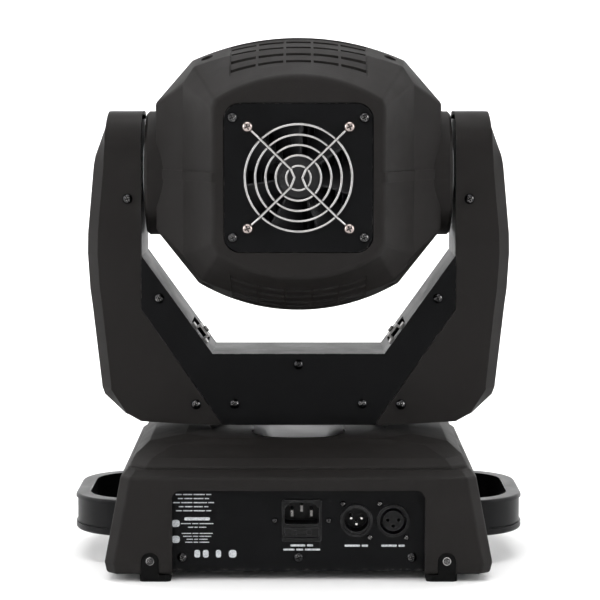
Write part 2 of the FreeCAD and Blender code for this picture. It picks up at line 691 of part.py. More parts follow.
def make_main_board():
    """Control board on four posts at the right of the base."""
    z0 = PLATE_Z + SHEET
    board = box(62, 120, -76, 76, z0 + 6, z0 + 7.6)
    parts = [board]
    for x in (67, 115):
        for y in (-71, 71):
            parts.append(cylinder(V(x, y, z0), Z_AXIS, 3.0, 6.5))
    for y, size, height in ((-50, 12, 16), (-20, 9, 5), (5, 14, 4), (34, 8, 12), (58, 10, 9)):
        parts.append(box(91 - size, 91 + size, y - size * 0.6, y + size * 0.6, z0 + 7, z0 + 7.6 + height))
    return fuse(parts)


def make_pan_bridge():
    """Steel bridge over the bottom plate that carries the pan column."""
    top = box(-50, 50, -46, 46, BRIDGE_TOP_Z - 2.0, BRIDGE_TOP_Z)
    legs = [box(x0, x0 + 2.0, -46, 46, PLATE_Z + SHEET, BRIDGE_TOP_Z) for x0 in (-50, 48)]
    toes = [
        box(-60, -48, -46, 46, PLATE_Z + SHEET, PLATE_Z + SHEET + 2.0),
        box(48, 60, -46, 46, PLATE_Z + SHEET, PLATE_Z + SHEET + 2.0),
    ]
    bridge = fuse([top] + legs + toes)
    window = [(-30, 16), (30, 16), (30, 52), (-30, 52)]
    opening = Part.Face(Part.makePolygon([V(-70, y, z) for y, z in window + window[:1]]))
    bridge = bridge.cut(opening.extrude(V(140, 0, 0)))
    return bridge.cut(cylinder(V(0, 0, 40), Z_AXIS, COLUMN_BORE_R, 40))


def make_base_tray():
    """Bottom plate with the pan bridge welded on."""
    return make_base_floor().fuse(make_pan_bridge())


def make_pan_column():
    """Turned aluminium column: bolted flange, visible collar and bearing spigot."""
    flange = cylinder(V(0, 0, BRIDGE_TOP_Z), Z_AXIS, 43.0, 5.0)
    collar = cylinder(V(0, 0, BRIDGE_TOP_Z + 5.0), Z_AXIS, COLLAR_R, YOKE_BOTTOM_Z - 0.6 - BRIDGE_TOP_Z - 5.0)
    spigot = cylinder(V(0, 0, YOKE_BOTTOM_Z - 2.0), Z_AXIS, COLUMN_R, 133.0 - YOKE_BOTTOM_Z + 2.0)
    column = fuse([flange, collar, spigot])
    column = column.cut(cylinder(V(0, 0, 0), Z_AXIS, COLUMN_BORE_R, 200))
    for index in range(6):
        angle = math.radians(60 * index + 30)
        column = column.cut(cylinder(V(38.5 * math.cos(angle), 38.5 * math.sin(angle), 50), Z_AXIS, 2.2, 30))
    return column


def make_pan_pulley():
    """Large toothed pulley fixed on the column, which the pan belt walks round."""
    return timing_pulley(V(0, 0, PAN_BELT_Z), Z_AXIS, PAN_PULLEY_TEETH, BELT_W + 1.0, COLUMN_R + 0.02)


# ------------------------------------------------------------------------- yoke
def diagonal_slope():
    """Angle of the band's diagonals above the beam, in radians."""
    return math.atan2(DIAGONAL_TOP_Z - BEAM_TOP_Z, BAND_X - BEAM_HALF_X)


def on_diagonal(shape, y):
    """Shape built round the origin, set on the +X diagonal where the cables pass."""
    slope = diagonal_slope()
    x = (BAND_X + BEAM_HALF_X) / 2 - CABLE_SLOT_SHIFT
    z = (DIAGONAL_TOP_Z + BEAM_TOP_Z) / 2 - CABLE_SLOT_SHIFT * math.tan(slope)
    shape.rotate(V(0, 0, 0), Y_AXIS, -math.degrees(slope))
    shape.translate(V(x, y, z))
    return shape


def make_yoke_band():
    """Inner steel band of the yoke: up both arms, down the diagonals, over the beam."""
    arm_top = ARM_TOP_Z - 6.0
    depth = YOKE_HALF_DEPTH - SHEET - 0.2
    inner = [
        (BAND_X, arm_top), (BAND_X, DIAGONAL_TOP_Z), (BEAM_HALF_X, BEAM_TOP_Z),
        (-BEAM_HALF_X, BEAM_TOP_Z), (-BAND_X, DIAGONAL_TOP_Z), (-BAND_X, arm_top),
    ]
    slope = diagonal_slope()
    lower_shift = BAND_T * math.tan(slope / 2)
    upper_shift = BAND_T * math.tan((math.pi / 2 - slope) / 2)
    outer = [
        (-BAND_X - BAND_T, arm_top), (-BAND_X - BAND_T, DIAGONAL_TOP_Z - upper_shift),
        (-BEAM_HALF_X - lower_shift, BEAM_TOP_Z - BAND_T), (BEAM_HALF_X + lower_shift, BEAM_TOP_Z - BAND_T),
        (BAND_X + BAND_T, DIAGONAL_TOP_Z - upper_shift), (BAND_X + BAND_T, arm_top),
    ]
    band = prism_y(inner + outer, -depth, depth)
    beam_part = box(-200, 200, -depth, depth, 100, DIAGONAL_TOP_Z - 5.0)
    band = band.common(arm_side_profile(ARM_WALL + 0.2)).fuse(band.common(beam_part))
    tab = box(BAND_X, BAND_X + 16.0, 33.6, 35.2, ARM_SCREW_Z - 7, ARM_SCREW_Z + 7)
    tab = tab.cut(cylinder(V(COVER_HIGH_SCREW[0], 30, ARM_SCREW_Z), Y_AXIS, 1.8, 10))
    band = fuse([band, tab, mirror_x(tab), mirror_y(tab), mirror_x(mirror_y(tab))])
    for sign in (-1, 1):
        band = band.cut(cylinder(V(sign * 110, 0, PIVOT_Z), V(sign, 0, 0), BEARING_SPIGOT_R, 20))
        slot = on_diagonal(box(-10, 10, -20, 20, -4, 4), 0)
        band = band.cut(slot if sign > 0 else mirror_x(slot))
    return band


def plate_outline(grow):
    """Outline of a yoke side plate; grow moves its outer boundary outwards."""
    edge_x = PLATE_EDGE_X + grow
    foot_x = PLATE_FOOT_X + grow * 1.3
    half = [
        (BAND_X, DIAGONAL_TOP_Z + 0.4), (edge_x, DIAGONAL_TOP_Z + 0.4), (edge_x, PLATE_EDGE_Z),
        (foot_x, YOKE_BOTTOM_Z + 1.9), (foot_x - 0.3, YOKE_BOTTOM_Z),
    ]
    left = [(-x, z) for x, z in reversed(half)]
    return half + left + [(-BEAM_HALF_X, BEAM_TOP_Z), (BEAM_HALF_X, BEAM_TOP_Z)]


def make_yoke_plate(sign_y):
    """Flat steel side plate of the yoke, at the rear (-1) or the front (+1)."""
    near = YOKE_HALF_DEPTH - SHEET
    plate = prism_y(plate_outline(0), near, YOKE_HALF_DEPTH)
    for x, z in PLATE_SCREWS:
        plate = plate.cut(cylinder(V(x, near - 1, z), Y_AXIS, 2.2, 5))
    return plate if sign_y > 0 else mirror_y(plate)


def arm_wire(y, facet_share, wall):
    """Outline of an arm cover at one depth, moved inwards by wall."""
    points = []
    for index, (x, z, facet) in enumerate(ARM_EDGE):
        before = ARM_EDGE[max(index - 1, 0)]
        after = ARM_EDGE[min(index + 1, len(ARM_EDGE) - 1)]
        step_x = after[0] - before[0]
        step_z = after[1] - before[1]
        inwards = (wall + facet * facet_share) / math.hypot(step_x, step_z)
        points.append((x + step_z * inwards, z - step_x * inwards))
    if wall:
        foot_z = points[-1][1]
        points += [(40.0, foot_z), (100.0, PLATE_EDGE_Z), (100.0, ARM_TOP_Z + 6.0)]
    else:
        points += [
            (PLATE_FOOT_X + 0.6, YOKE_BOTTOM_Z + 2.0), (PLATE_EDGE_X + GAP, PLATE_EDGE_Z),
            (PLATE_EDGE_X + GAP, DIAGONAL_TOP_Z + 0.8), (BAND_X, DIAGONAL_TOP_Z + 0.9),
            (BAND_X, ARM_TOP_Z + 6.0),
        ]
    return polygon_xz(points, y)


def arm_side_profile(wall):
    """Block whose side view is an arm with its rounded top, moved inwards by wall."""
    half = YOKE_HALF_DEPTH - wall
    side = box(-170, 170, -half, half, 80, ARM_TOP_Z - wall)
    upper = [
        edge for edge in side.Edges
        if abs(edge.tangentAt(edge.FirstParameter).x) > 0.9 and edge.CenterOfMass.z > 300
    ]
    return side.makeFillet(ARM_TOP_R - wall, upper)


def arm_solid(wall):
    """Filled arm cover at +X, moved inwards by wall."""
    half = YOKE_HALF_DEPTH - wall
    stations = [(-half, 1.0), (-ARM_FACET_Y, 0.0), (ARM_FACET_Y, 0.0), (half, 1.0)]
    body = loft([arm_wire(y, share, wall) for y, share in stations])
    return body.common(arm_side_profile(wall))


def make_arm_cover():
    """Moulded cover of the +X arm, open towards the head, where the band closes it."""
    cover = arm_solid(0).cut(arm_solid(ARM_WALL))
    for x, z in (COVER_LOW_SCREW, COVER_HIGH_SCREW):
        cover = cover.cut(cylinder(V(x, -50, z), Y_AXIS, 2.0, 100))
    return cover


def make_yoke_spacers():
    """Threaded rods that hold the side plates and the lower ends of the covers."""
    reach = YOKE_HALF_DEPTH - SHEET
    rods = [tube(V(x, -reach, z), Y_AXIS, 4.0, 1.6, 2 * reach) for x, z in PLATE_SCREWS]
    reach = YOKE_HALF_DEPTH - ARM_WALL
    for x in (COVER_LOW_SCREW[0], -COVER_LOW_SCREW[0]):
        rods.append(tube(V(x, -reach, COVER_LOW_SCREW[1]), Y_AXIS, 4.0, 1.6, 2 * reach))
    return group(rods)


def make_yoke_plate_screws():
    """Screws of both side plates."""
    screws = []
    for sign in (-1, 1):
        for x, z in PLATE_SCREWS:
            seat = V(x, sign * YOKE_HALF_DEPTH, z)
            screws.append(pan_head_screw(seat, V(0, sign, 0), SCREW_HEAD_R, SCREW_HEAD_H, 1.5, 9.0))
    return screws


def make_arm_cover_screws():
    """Screws of both arm covers."""
    screws = []
    for sign in (-1, 1):
        for x, z in (COVER_LOW_SCREW, COVER_HIGH_SCREW):
            for side in (-1, 1):
                seat = V(side * x, sign * YOKE_HALF_DEPTH, z)
                length = 4.3 if z == ARM_SCREW_Z else 9.0
                screws.append(pan_head_screw(seat, V(0, sign, 0), SCREW_HEAD_R, SCREW_HEAD_H, 1.5, length))
    return screws


def make_yoke_turntable():
    """Bottom plate of the yoke with the bearing housing round the column."""
    reach = YOKE_HALF_DEPTH - SHEET
    floor = box(-PLATE_FOOT_X + 1, PLATE_FOOT_X - 1, -reach, reach, YOKE_BOTTOM_Z, YOKE_BOTTOM_Z + 3.0)
    housing = cylinder(V(0, 0, YOKE_BOTTOM_Z), Z_AXIS, 33.0, 17.0)
    table = floor.fuse(housing).removeSplitter()
    table = table.cut(cylinder(V(0, 0, YOKE_BOTTOM_Z - 1), Z_AXIS, COLUMN_R + 1.5, 30))
    return table.cut(cylinder(V(0, 0, YOKE_BOTTOM_Z + 4.0), Z_AXIS, 29.0, 30))


def make_pan_bearing():
    """Ball bearing between the turntable and the column, drawn as one closed ring."""
    ring = tube(V(0, 0, YOKE_BOTTOM_Z + 4.0), Z_AXIS, 28.95, COLUMN_R + FIT, 12.0)
    for z in (YOKE_BOTTOM_Z + 4.0, YOKE_BOTTOM_Z + 15.0):
        ring = ring.cut(tube(V(0, 0, z), Z_AXIS, 27.0, COLUMN_R + 2.0, 1.0))
    return ring


def motor_square(half, x0, x1, cy, cz):
    """Square motor body with cut corners, lying along X."""
    outline = [V(x0, cy + y, cz + z) for y, z in chamfered_rectangle(half, half, 4.0)]
    return Part.Face(Part.makePolygon(outline + outline[:1])).extrude(V(x1 - x0, 0, 0))


def make_pan_motor():
    """Stepping motor under the beam's top, shaft downwards."""
    top = BEAM_TOP_Z - BAND_T
    body = prism_z(
        [(PAN_MOTOR_X + x, y) for x, y in chamfered_rectangle(21.0, 21.0, 4.0)], PAN_BELT_Z + 10.0, top
    )
    boss = cylinder(V(PAN_MOTOR_X, 0, PAN_BELT_Z + 9.0), Z_AXIS, 11.0, 1.5)
    shaft = cylinder(V(PAN_MOTOR_X, 0, PAN_BELT_Z - 2.5), Z_AXIS, 2.5, 14.0)
    return fuse([body, boss, shaft])


def make_pan_motor_pulley():
    """Small toothed pulley on the pan motor."""
    return timing_pulley(
        V(PAN_MOTOR_X, 0, PAN_BELT_Z), Z_AXIS, PAN_MOTOR_TEETH, BELT_W + 1.0, 2.5 + FIT
    )


def make_pan_belt():
    """Toothed belt from the pan motor round the fixed pulley."""
    return belt_loop(
        V(0, 0, PAN_BELT_Z + 0.5), pitch_radius(PAN_PULLEY_TEETH) + GAP,
        V(PAN_MOTOR_X, 0, PAN_BELT_Z + 0.5), pitch_radius(PAN_MOTOR_TEETH) + GAP, Z_AXIS, BELT_W
    )


def make_tilt_motor():
    """Flat stepping motor in the -X arm on four posts, shaft towards the head."""
    face_x = -TILT_BELT_X - BELT_W - 3.5
    body = motor_square(20.0, face_x - 20.0, face_x, 0, TILT_MOTOR_Z)
    boss = cylinder(V(face_x, 0, TILT_MOTOR_Z), X_AXIS, 9.0, 1.0)
    shaft = cylinder(V(face_x, 0, TILT_MOTOR_Z), X_AXIS, 2.5, 11.0)
    posts = []
    for y in (-16, 16):
        for z in (-16, 16):
            post_length = -BAND_X - BAND_T - face_x
            posts.append(cylinder(V(face_x, y, TILT_MOTOR_Z + z), X_AXIS, 2.4, post_length))
    return fuse([body, boss, shaft] + posts)


def make_tilt_motor_pulley():
    """Small toothed pulley on the tilt motor."""
    start = V(-TILT_BELT_X - BELT_W - 0.5, 0, TILT_MOTOR_Z)
    return timing_pulley(start, X_AXIS, TILT_MOTOR_TEETH, BELT_W + 1.0, 2.5 + FIT)


def make_tilt_pulley():
    """Toothed pulley fixed on the head's -X trunnion."""
    start = V(-TILT_BELT_X - BELT_W - 0.5, 0, PIVOT_Z)
    return timing_pulley(start, X_AXIS, TILT_PULLEY_TEETH, BELT_W + 1.0, TRUNNION_R + 0.02)


def make_tilt_belt():
    """Toothed belt that tilts the head."""
    return belt_loop(
        V(-TILT_BELT_X - BELT_W, 0, PIVOT_Z), pitch_radius(TILT_PULLEY_TEETH) + GAP,
        V(-TILT_BELT_X - BELT_W, 0, TILT_MOTOR_Z), pitch_radius(TILT_MOTOR_TEETH) + GAP, X_AXIS, BELT_W
    )


def make_tilt_bearing(sign):
    """Flanged plain bearing in the arm for one trunnion."""
    spigot = cylinder(V(sign * BAND_X, 0, PIVOT_Z), V(sign, 0, 0), BEARING_SPIGOT_R - 0.02, BAND_T)
    flange = cylinder(V(sign * (BAND_X + BAND_T), 0, PIVOT_Z), V(sign, 0, 0), 22.0, 1.6)
    bearing = fuse([spigot, flange])
    return bearing.cut(cylinder(V(sign * 110, 0, PIVOT_Z), V(sign, 0, 0), TRUNNION_R + FIT, 20))


def make_driver_board():
    """Motor driver board in the +X arm on four posts."""
    x0 = BAND_X + BAND_T
    board = box(x0 + 6, x0 + 7.6, -26, 26, 176, 250)
    parts = [board]
    for y in (-22, 22):
        for z in (181, 245):
            parts.append(cylinder(V(x0, y, z), X_AXIS, 2.5, 6.5))
    for z, size, height in ((190, 6, 10), (206, 7, 3), (222, 7, 3), (238, 5, 12)):
        parts.append(box(x0 + 7, x0 + 7.6 + height, -size * 1.5, size * 1.5, z - size, z + size))
    return fuse(parts)


def make_cable_clip():
    """Bright saddle clip over the slot in the +X diagonal."""
    strap = box(-9.0, 9.0, -6.0, 6.0, 0, 5.0).cut(box(-4.2, 4.2, -7, 7, -1, 3.6))
    strap = strap.cut(box(-10, -5.4, -7, 7, 1.4, 8)).cut(box(5.4, 10, -7, 7, 1.4, 8))
    post = cylinder(V(0, 0, 4.0), Z_AXIS, 2.4, 3.0)
    return on_diagonal(fuse([strap, post]), -24.0)


# ------------------------------------------------------------------------- head


def head_wire(ring, inset):
    """Eight-sided outline with arched top and bottom, centred on the tilt axis."""
    y, side_x, upper, lower = ring
    side_x -= inset

    def shrunk(half):
        side_z, shoulder_x, shoulder_z, crown_z = half
        return side_z - inset * 0.4, shoulder_x - inset * 0.5, shoulder_z - inset, crown_z - inset

    def point(x, z):
        return V(x, y, PIVOT_Z + z)

    up_z, up_x, up_shoulder, up_crown = shrunk(upper)
    low_z, low_x, low_shoulder, low_crown = shrunk(lower)
    curves = [
        Part.LineSegment(point(side_x, -low_z), point(side_x, up_z)),
        Part.LineSegment(point(side_x, up_z), point(up_x, up_shoulder)),
        Part.Arc(point(up_x, up_shoulder), point(0, up_crown), point(-up_x, up_shoulder)),
        Part.LineSegment(point(-up_x, up_shoulder), point(-side_x, up_z)),
        Part.LineSegment(point(-side_x, up_z), point(-side_x, -low_z)),
        Part.LineSegment(point(-side_x, -low_z), point(-low_x, -low_shoulder)),
        Part.Arc(point(-low_x, -low_shoulder), point(0, -low_crown), point(low_x, -low_shoulder)),
        Part.LineSegment(point(low_x, -low_shoulder), point(side_x, -low_z)),
    ]
    return Part.Wire([curve.toShape() for curve in curves])


def head_body(inset):
    """Filled faceted body of the head without its hubs."""
    wires = []
    for ring in HEAD_RINGS:
        y = ring[0]
        if y == HEAD_REAR_Y:
            y += inset
        if y == HEAD_FRONT_Y:
            y -= inset
        wires.append(head_wire((y,) + ring[1:], inset))
    return loft(wires)


def head_surface(inset):
    """Filled body of the head with rounded edges."""
    return softened(head_body(inset), HEAD_ROUND - inset)


def head_hub(sign, inset):
    """Raised round boss on one side of the head."""
    start = V(sign * 88.0, 0, PIVOT_Z)
    boss = cylinder(start, V(sign, 0, 0), HUB_R - inset, HUB_X - 88.0 - inset)
    if inset > 0:
        return boss
    rim = [
        edge for edge in boss.Edges
        if edge.Curve.TypeId == "Part::GeomCircle" and abs(edge.CenterOfMass.x) > HUB_X - 1
    ]
    return boss.makeChamfer(2.0, rim)


def make_head_shells():
    """Both halves of the head's casing, split just under the tilt axis."""
    body = head_surface(0).fuse(head_hub(1, 0)).fuse(head_hub(-1, 0))
    hollow = head_body(SHELL_WALL).fuse(head_hub(1, SHELL_WALL)).fuse(head_hub(-1, SHELL_WALL))
    split_z = PIVOT_Z + HEAD_SPLIT
    lip = head_surface(-0.9).fuse(head_hub(1, 0)).fuse(head_hub(-1, 0))
    lip = lip.common(box(-120, 120, HEAD_REAR_Y, HEAD_FRONT_Y, split_z, split_z + 7.0))
    bosses = []
    pits = []
    for x in (-PIT_X, PIT_X):
        for y in (-PIT_Y, PIT_Y):
            for sign in (-1, 1):
                base = V(x, y, PIVOT_Z + sign * (PIT_FLOOR_Z - 6.0))
                bosses.append(cylinder(base, V(0, 0, sign), PIT_R + 2.0, 40).common(body))
                pits.append(cylinder(V(x, y, PIVOT_Z + sign * PIT_FLOOR_Z), V(0, 0, sign), PIT_R, 40))
                pits.append(cylinder(base - V(0, 0, sign), V(0, 0, sign), 1.8, 10))
    shell = body.fuse(lip).cut(hollow)
    for boss in bosses:
        shell = shell.fuse(boss)
    openings = pits + [
        rounded_box_y(0, PIVOT_Z + 0.5, REAR_PLATE + 1.0, REAR_PLATE + 1.0, REAR_PLATE_R, -120, -95),
        cylinder(V(0, HEAD_FRONT_Y - 10, PIVOT_Z), Y_AXIS, BEZEL_R + 0.4, 30),
        cylinder(V(-130, 0, PIVOT_Z), X_AXIS, 24.8, 260),
    ]
    panel = head_body(-1.2).cut(head_surface(0.7))
    panel = panel.common(box(-VENT_HALF_X, VENT_HALF_X, -88.0, -40.5, PIVOT_Z - 120, PIVOT_Z + 120))
    segment = 2 * VENT_HALF_X / 5
    slots = []
    for y in VENT_ROWS:
        for index in range(5):
            x0 = -VENT_HALF_X + index * segment + 0.9
            x1 = x0 + segment - 1.8
            slots.append(box(x0, x1, y - VENT_SLOT / 2, y + VENT_SLOT / 2, PIVOT_Z + 64, PIVOT_Z + 120))
            slots.append(box(x0, x1, y - VENT_SLOT / 2, y + VENT_SLOT / 2, PIVOT_Z - 120, PIVOT_Z - 64))
    shell = shell.cut(panel.fuse(slots[0]).fuse(slots[1:]))
    shell = cut_all(shell, openings)
    upper = shell.common(box(-200, 200, -200, 200, split_z, split_z + 200))
    lower = shell.common(box(-200, 200, -200, 200, split_z - 200, split_z))
    return upper, lower


def make_shell_screws():
    """Countersunk screws at the bottom of the four upper and four lower pits."""
    screws = []
    for x in (-PIT_X, PIT_X):
        for y in (-PIT_Y, PIT_Y):
            for sign in (-1, 1):
                seat = V(x, y, PIVOT_Z + sign * PIT_FLOOR_Z)
                screws.append(pan_head_screw(seat, V(0, 0, sign), 3.2, 2.0, 1.5, 14.0))
    return screws


def corner_points(half_x, half_z, y):
    """Four points at the corners of a rectangle about the fan's axis."""
    return [V(sx * half_x, y, PLATE_CENTRE_Z + sz * half_z) for sx in (-1, 1) for sz in (-1, 1)]


def make_rear_plate():
    """Smooth black plate with the fan opening."""
    plate = rounded_box_y(
        0, PLATE_CENTRE_Z, REAR_PLATE, REAR_PLATE, REAR_PLATE_R, REAR_PLATE_Y, FAN_FRONT_Y
    )
    plate = plate.cut(cylinder(V(0, -120, PLATE_CENTRE_Z), Y_AXIS, FAN_OPENING_R, 40))
    holes = screw_holes(corner_points(PLATE_SCREW_X, PLATE_SCREW_Z, REAR_PLATE_Y), V(0, -1, 0), 1.8, 8)
    holes += screw_holes(corner_points(FAN_PITCH / 2, FAN_PITCH / 2, REAR_PLATE_Y), V(0, -1, 0), 2.2, 8)
    return cut_all(plate, holes)


def make_plate_screws():
    """Four black screws at the corners of the rear plate."""
    seats = corner_points(PLATE_SCREW_X, PLATE_SCREW_Z, REAR_PLATE_Y)
    return [pan_head_screw(seat, V(0, -1, 0), SCREW_HEAD_R, SCREW_HEAD_H, 1.5, 7.0) for seat in seats]


def make_guard_screws():
    """Four bright screws through the eyelets of the fan guard."""
    seats = corner_points(FAN_PITCH / 2, FAN_PITCH / 2, REAR_PLATE_Y - 2 * GUARD_WIRE_R)
    return group([pan_head_screw(seat, V(0, -1, 0), 3.9, 2.4, 1.9, 20.0) for seat in seats])


def wire_rod(start, end):
    """Straight round wire with ball ends."""
    span = end - start
    rod = Part.makeCylinder(GUARD_WIRE_R, span.Length, start, span)
    return rod.fuse(Part.makeSphere(GUARD_WIRE_R, end))


def make_fan_guard():
    """Wire guard: five rings welded under two V-shaped spokes with eyelets."""
    ring_y = REAR_PLATE_Y - 2.6
    spoke_y = ring_y - 1.5 * GUARD_WIRE_R
    seat_y = REAR_PLATE_Y - GUARD_WIRE_R
    pieces = []
    for radius in GUARD_RINGS:
        pieces.append(Part.makeTorus(radius, GUARD_WIRE_R, V(0, ring_y, PLATE_CENTRE_Z), Y_AXIS))
    for sign_x in (-1, 1):
        apex = V(sign_x * 2.7, spoke_y, PLATE_CENTRE_Z)
        for sign_z in (-1, 1):
            knee = V(sign_x * 5.3, spoke_y, PLATE_CENTRE_Z + sign_z * 6.2)
            rim = V(sign_x * 28.0, spoke_y, PLATE_CENTRE_Z + sign_z * 28.4)
            eyelet = V(sign_x * FAN_PITCH / 2, seat_y, PLATE_CENTRE_Z + sign_z * FAN_PITCH / 2)
            inwards = V(-sign_x, 0, -sign_z).normalize()
            end = eyelet + inwards * 4.05
            pieces += [wire_rod(apex, knee), wire_rod(knee, rim), wire_rod(rim, end)]
            pieces.append(Part.makeTorus(3.2, GUARD_WIRE_R, eyelet, Y_AXIS))
    return fuse(pieces)


def make_fan_frame():
    """Square fan housing with four struts that hold the motor cup."""
    back_y = FAN_FRONT_Y + FAN_DEPTH
    frame = rounded_box_y(0, PLATE_CENTRE_Z, FAN_SIZE, FAN_SIZE, 5.0, FAN_FRONT_Y, back_y)
    frame = frame.cut(cylinder(V(0, -120, PLATE_CENTRE_Z), Y_AXIS, FAN_OPENING_R, 60))
    for centre in corner_points(FAN_PITCH / 2, FAN_PITCH / 2, FAN_FRONT_Y):
        frame = frame.cut(cylinder(centre - Y_AXIS * 5, Y_AXIS, 2.2, 50))
    waist_start = V(0, FAN_FRONT_Y + 4.5, PLATE_CENTRE_Z)
    frame = frame.cut(tube(waist_start, Y_AXIS, 60.0, FAN_OPENING_R + 1.6, FAN_DEPTH - 9.0))
    cup = cylinder(V(0, back_y - 5.0, PLATE_CENTRE_Z), Y_AXIS, 15.0, 5.0)
    struts = []
    for index in range(4):
        strut = box(12, FAN_OPENING_R + 1, back_y - 3.0, back_y, -1.6, 1.6)
        strut.rotate(V(0, 0, 0), Y_AXIS, 45 + index * 90)
        strut.translate(V(0, 0, PLATE_CENTRE_Z))
        struts.append(strut)
    pin = cylinder(V(0, back_y - 12.0, PLATE_CENTRE_Z), Y_AXIS, 1.5, 8.0)
    return fuse([frame, cup, pin] + struts)


def make_fan_rotor():
    """Hub and seven twisted blades."""
    front = FAN_FRONT_Y + 1.5
    depth = FAN_DEPTH - 8.0
    hub = cylinder(V(0, front, 0), Y_AXIS, FAN_HUB_R, depth)
    rim = [edge for edge in hub.Edges if abs(edge.CenterOfMass.y - front) < 0.1 and edge.Length > 50]
    hub = hub.makeFillet(1.5, rim)
    blades = []
    for index in range(FAN_BLADES):
        wires = []
        for radius, width, lean in ((FAN_HUB_R - 1.0, 15.0, 38.0), (27.0, 22.0, 50.0), (37.6, 28.0, 60.0)):
            half_along = width / 2 * math.cos(math.radians(90 - lean))
            half_deep = width / 2 * math.sin(math.radians(90 - lean)) * 0.98
            middle = front + depth / 2
            thick = 0.7
            corners = [
                V(radius, middle - half_deep, -half_along - thick), V(radius, middle - half_deep, -half_along + thick),
                V(radius, middle + half_deep, half_along + thick), V(radius, middle + half_deep, half_along - thick),
            ]
            wires.append(Part.makePolygon(corners + corners[:1]))
        blade = Part.makeLoft(wires, True, True)
        blade.rotate(V(0, 0, 0), Y_AXIS, index * 360.0 / FAN_BLADES)
        blades.append(blade)
    reach = cylinder(V(0, front - 5, 0), Y_AXIS, 37.7, 40)
    rotor = fuse([hub] + [blade.common(reach) for blade in blades])
    rotor = rotor.cut(cylinder(V(0, front + depth - 7.0, 0), Y_AXIS, 1.5 + FIT, 10))
    rotor.translate(V(0, 0, PLATE_CENTRE_Z))
    return rotor


def condenser_ring():
    """Ring on the wheel bracket that holds the condenser."""
    ring = tube(V(0, -24.5, PIVOT_Z), Y_AXIS, 23.0, 20.0, 10.0)
    step = tube(V(0, -24.5, PIVOT_Z), Y_AXIS, 22.0, 17.5, 4.4)
    flange = tube(V(0, -24.5, PIVOT_Z), Y_AXIS, 27.0, 21.0, 1.5)
    return fuse([ring, step, flange])


def make_head_chassis():
    """Welded frame inside the head: decks, cheeks, lens brackets and focus rails."""
    deck = [
        (90.0, -34.0), (90.0, 34.0), (58.0, 70.0), (-58.0, 70.0),
        (-90.0, 34.0), (-90.0, -34.0), (-58.0, -74.0), (58.0, -74.0),
    ]
    parts = []
    for z in (PIVOT_Z - CHASSIS_LOW_Z, PIVOT_Z + CHASSIS_Z - SHEET):
        parts.append(prism_z(deck, z, z + SHEET))
    for sign in (-1, 1):
        x0 = min(sign * 90.0, sign * (90.0 - 2.0))
        parts.append(box(x0, x0 + 2.0, -34, 34, PIVOT_Z - CHASSIS_LOW_Z, PIVOT_Z + CHASSIS_Z))
    for y, hole_r in ((WHEEL_BRACKET_Y, 23.5), (FOCUS_BRACKET_Y, 21.0)):
        plate = box(-88, 88, y, y + SHEET, PIVOT_Z - CHASSIS_LOW_Z, PIVOT_Z + CHASSIS_Z)
        parts.append(plate.cut(cylinder(V(0, y - 1, PIVOT_Z), Y_AXIS, hole_r, 5)))
    for z in (PIVOT_Z - RAIL_Z, PIVOT_Z + RAIL_Z):
        parts.append(cylinder(V(0, FOCUS_BRACKET_Y, z), Y_AXIS, RAIL_R, 84.0 - FOCUS_BRACKET_Y))
    parts.append(condenser_ring())
    chassis = fuse(parts)
    for sign in (-1, 1):
        chassis = chassis.cut(cylinder(V(sign * 80, 0, PIVOT_Z), V(sign, 0, 0), TRUNNION_BORE_R, 20))
    for z in (PIVOT_Z - CHASSIS_LOW_Z, PIVOT_Z + CHASSIS_Z):
        for y in (-22, 0, 22):
            chassis = chassis.cut(box(-50, 50, y - 3, y + 3, z - 5, z + 5))
    for x in (-PIT_X, PIT_X):
        for y in (-PIT_Y, PIT_Y):
            chassis = chassis.cut(cylinder(V(x, y, PIVOT_Z - 70), Z_AXIS, 2.6, 140))
    return chassis


def make_trunnion(sign):
    """Hollow steel trunnion: inner flange on the chassis, visible collar and journal."""
    out = V(sign, 0, 0)
    collar_r = 24.0 if sign < 0 else 22.0
    journal_end = 129.5 if sign < 0 else 121.5
    flange = cylinder(V(sign * 90.0, 0, PIVOT_Z), out, 26.0, 3.0)
    neck = cylinder(V(sign * 93.0, 0, PIVOT_Z), out, 18.0, 16.0)
    collar = cylinder(V(sign * 109.0, 0, PIVOT_Z), out, collar_r, BAND_X - 0.5 - 109.0)
    journal = cylinder(V(sign * 112.0, 0, PIVOT_Z), out, TRUNNION_R, journal_end - 112.0)
    trunnion = fuse([flange, neck, collar, journal])
    if sign > 0:
        groove = tube(V(112.6, 0, PIVOT_Z), out, 23.0, 20.6, 0.8)
        trunnion = trunnion.cut(groove)
    trunnion = trunnion.cut(cylinder(V(sign * 85, 0, PIVOT_Z), out, TRUNNION_BORE_R, 60))
    for index in range(4):
        angle = math.radians(45 + 90 * index)
        centre = V(sign * 89, 21.8 * math.cos(angle), PIVOT_Z + 21.8 * math.sin(angle))
        trunnion = trunnion.cut(cylinder(centre, out, 1.7, 5))
    return trunnion


def make_heat_sink():
    """Finned aluminium heat sink in the fan's air stream."""
    base = box(-38, 38, -36.0, -30.0, PIVOT_Z - 38, PIVOT_Z + 38)
    fins = []
    for index in range(16):
        x = -37.0 + index * 74.0 / 15
        fins.append(box(x - 0.8, x + 0.8, -72.0, -35.0, PIVOT_Z - 38, PIVOT_Z + 38))
    return base.multiFuse(fins)


def make_led_module():
    """Round LED board with its dome, screwed to the heat sink."""
    board = cylinder(V(0, -30.0, PIVOT_Z), Y_AXIS, 17.0, 1.8)
    frame = rounded_box_y(0, PIVOT_Z, 16, 16, 2.0, -28.4, -27.2)
    dome = Part.makeSphere(6.0, V(0, -28.6, PIVOT_Z))
    dome = dome.common(box(-10, 10, -28.4, -20, PIVOT_Z - 10, PIVOT_Z + 10))
    return fuse([board, frame, dome])


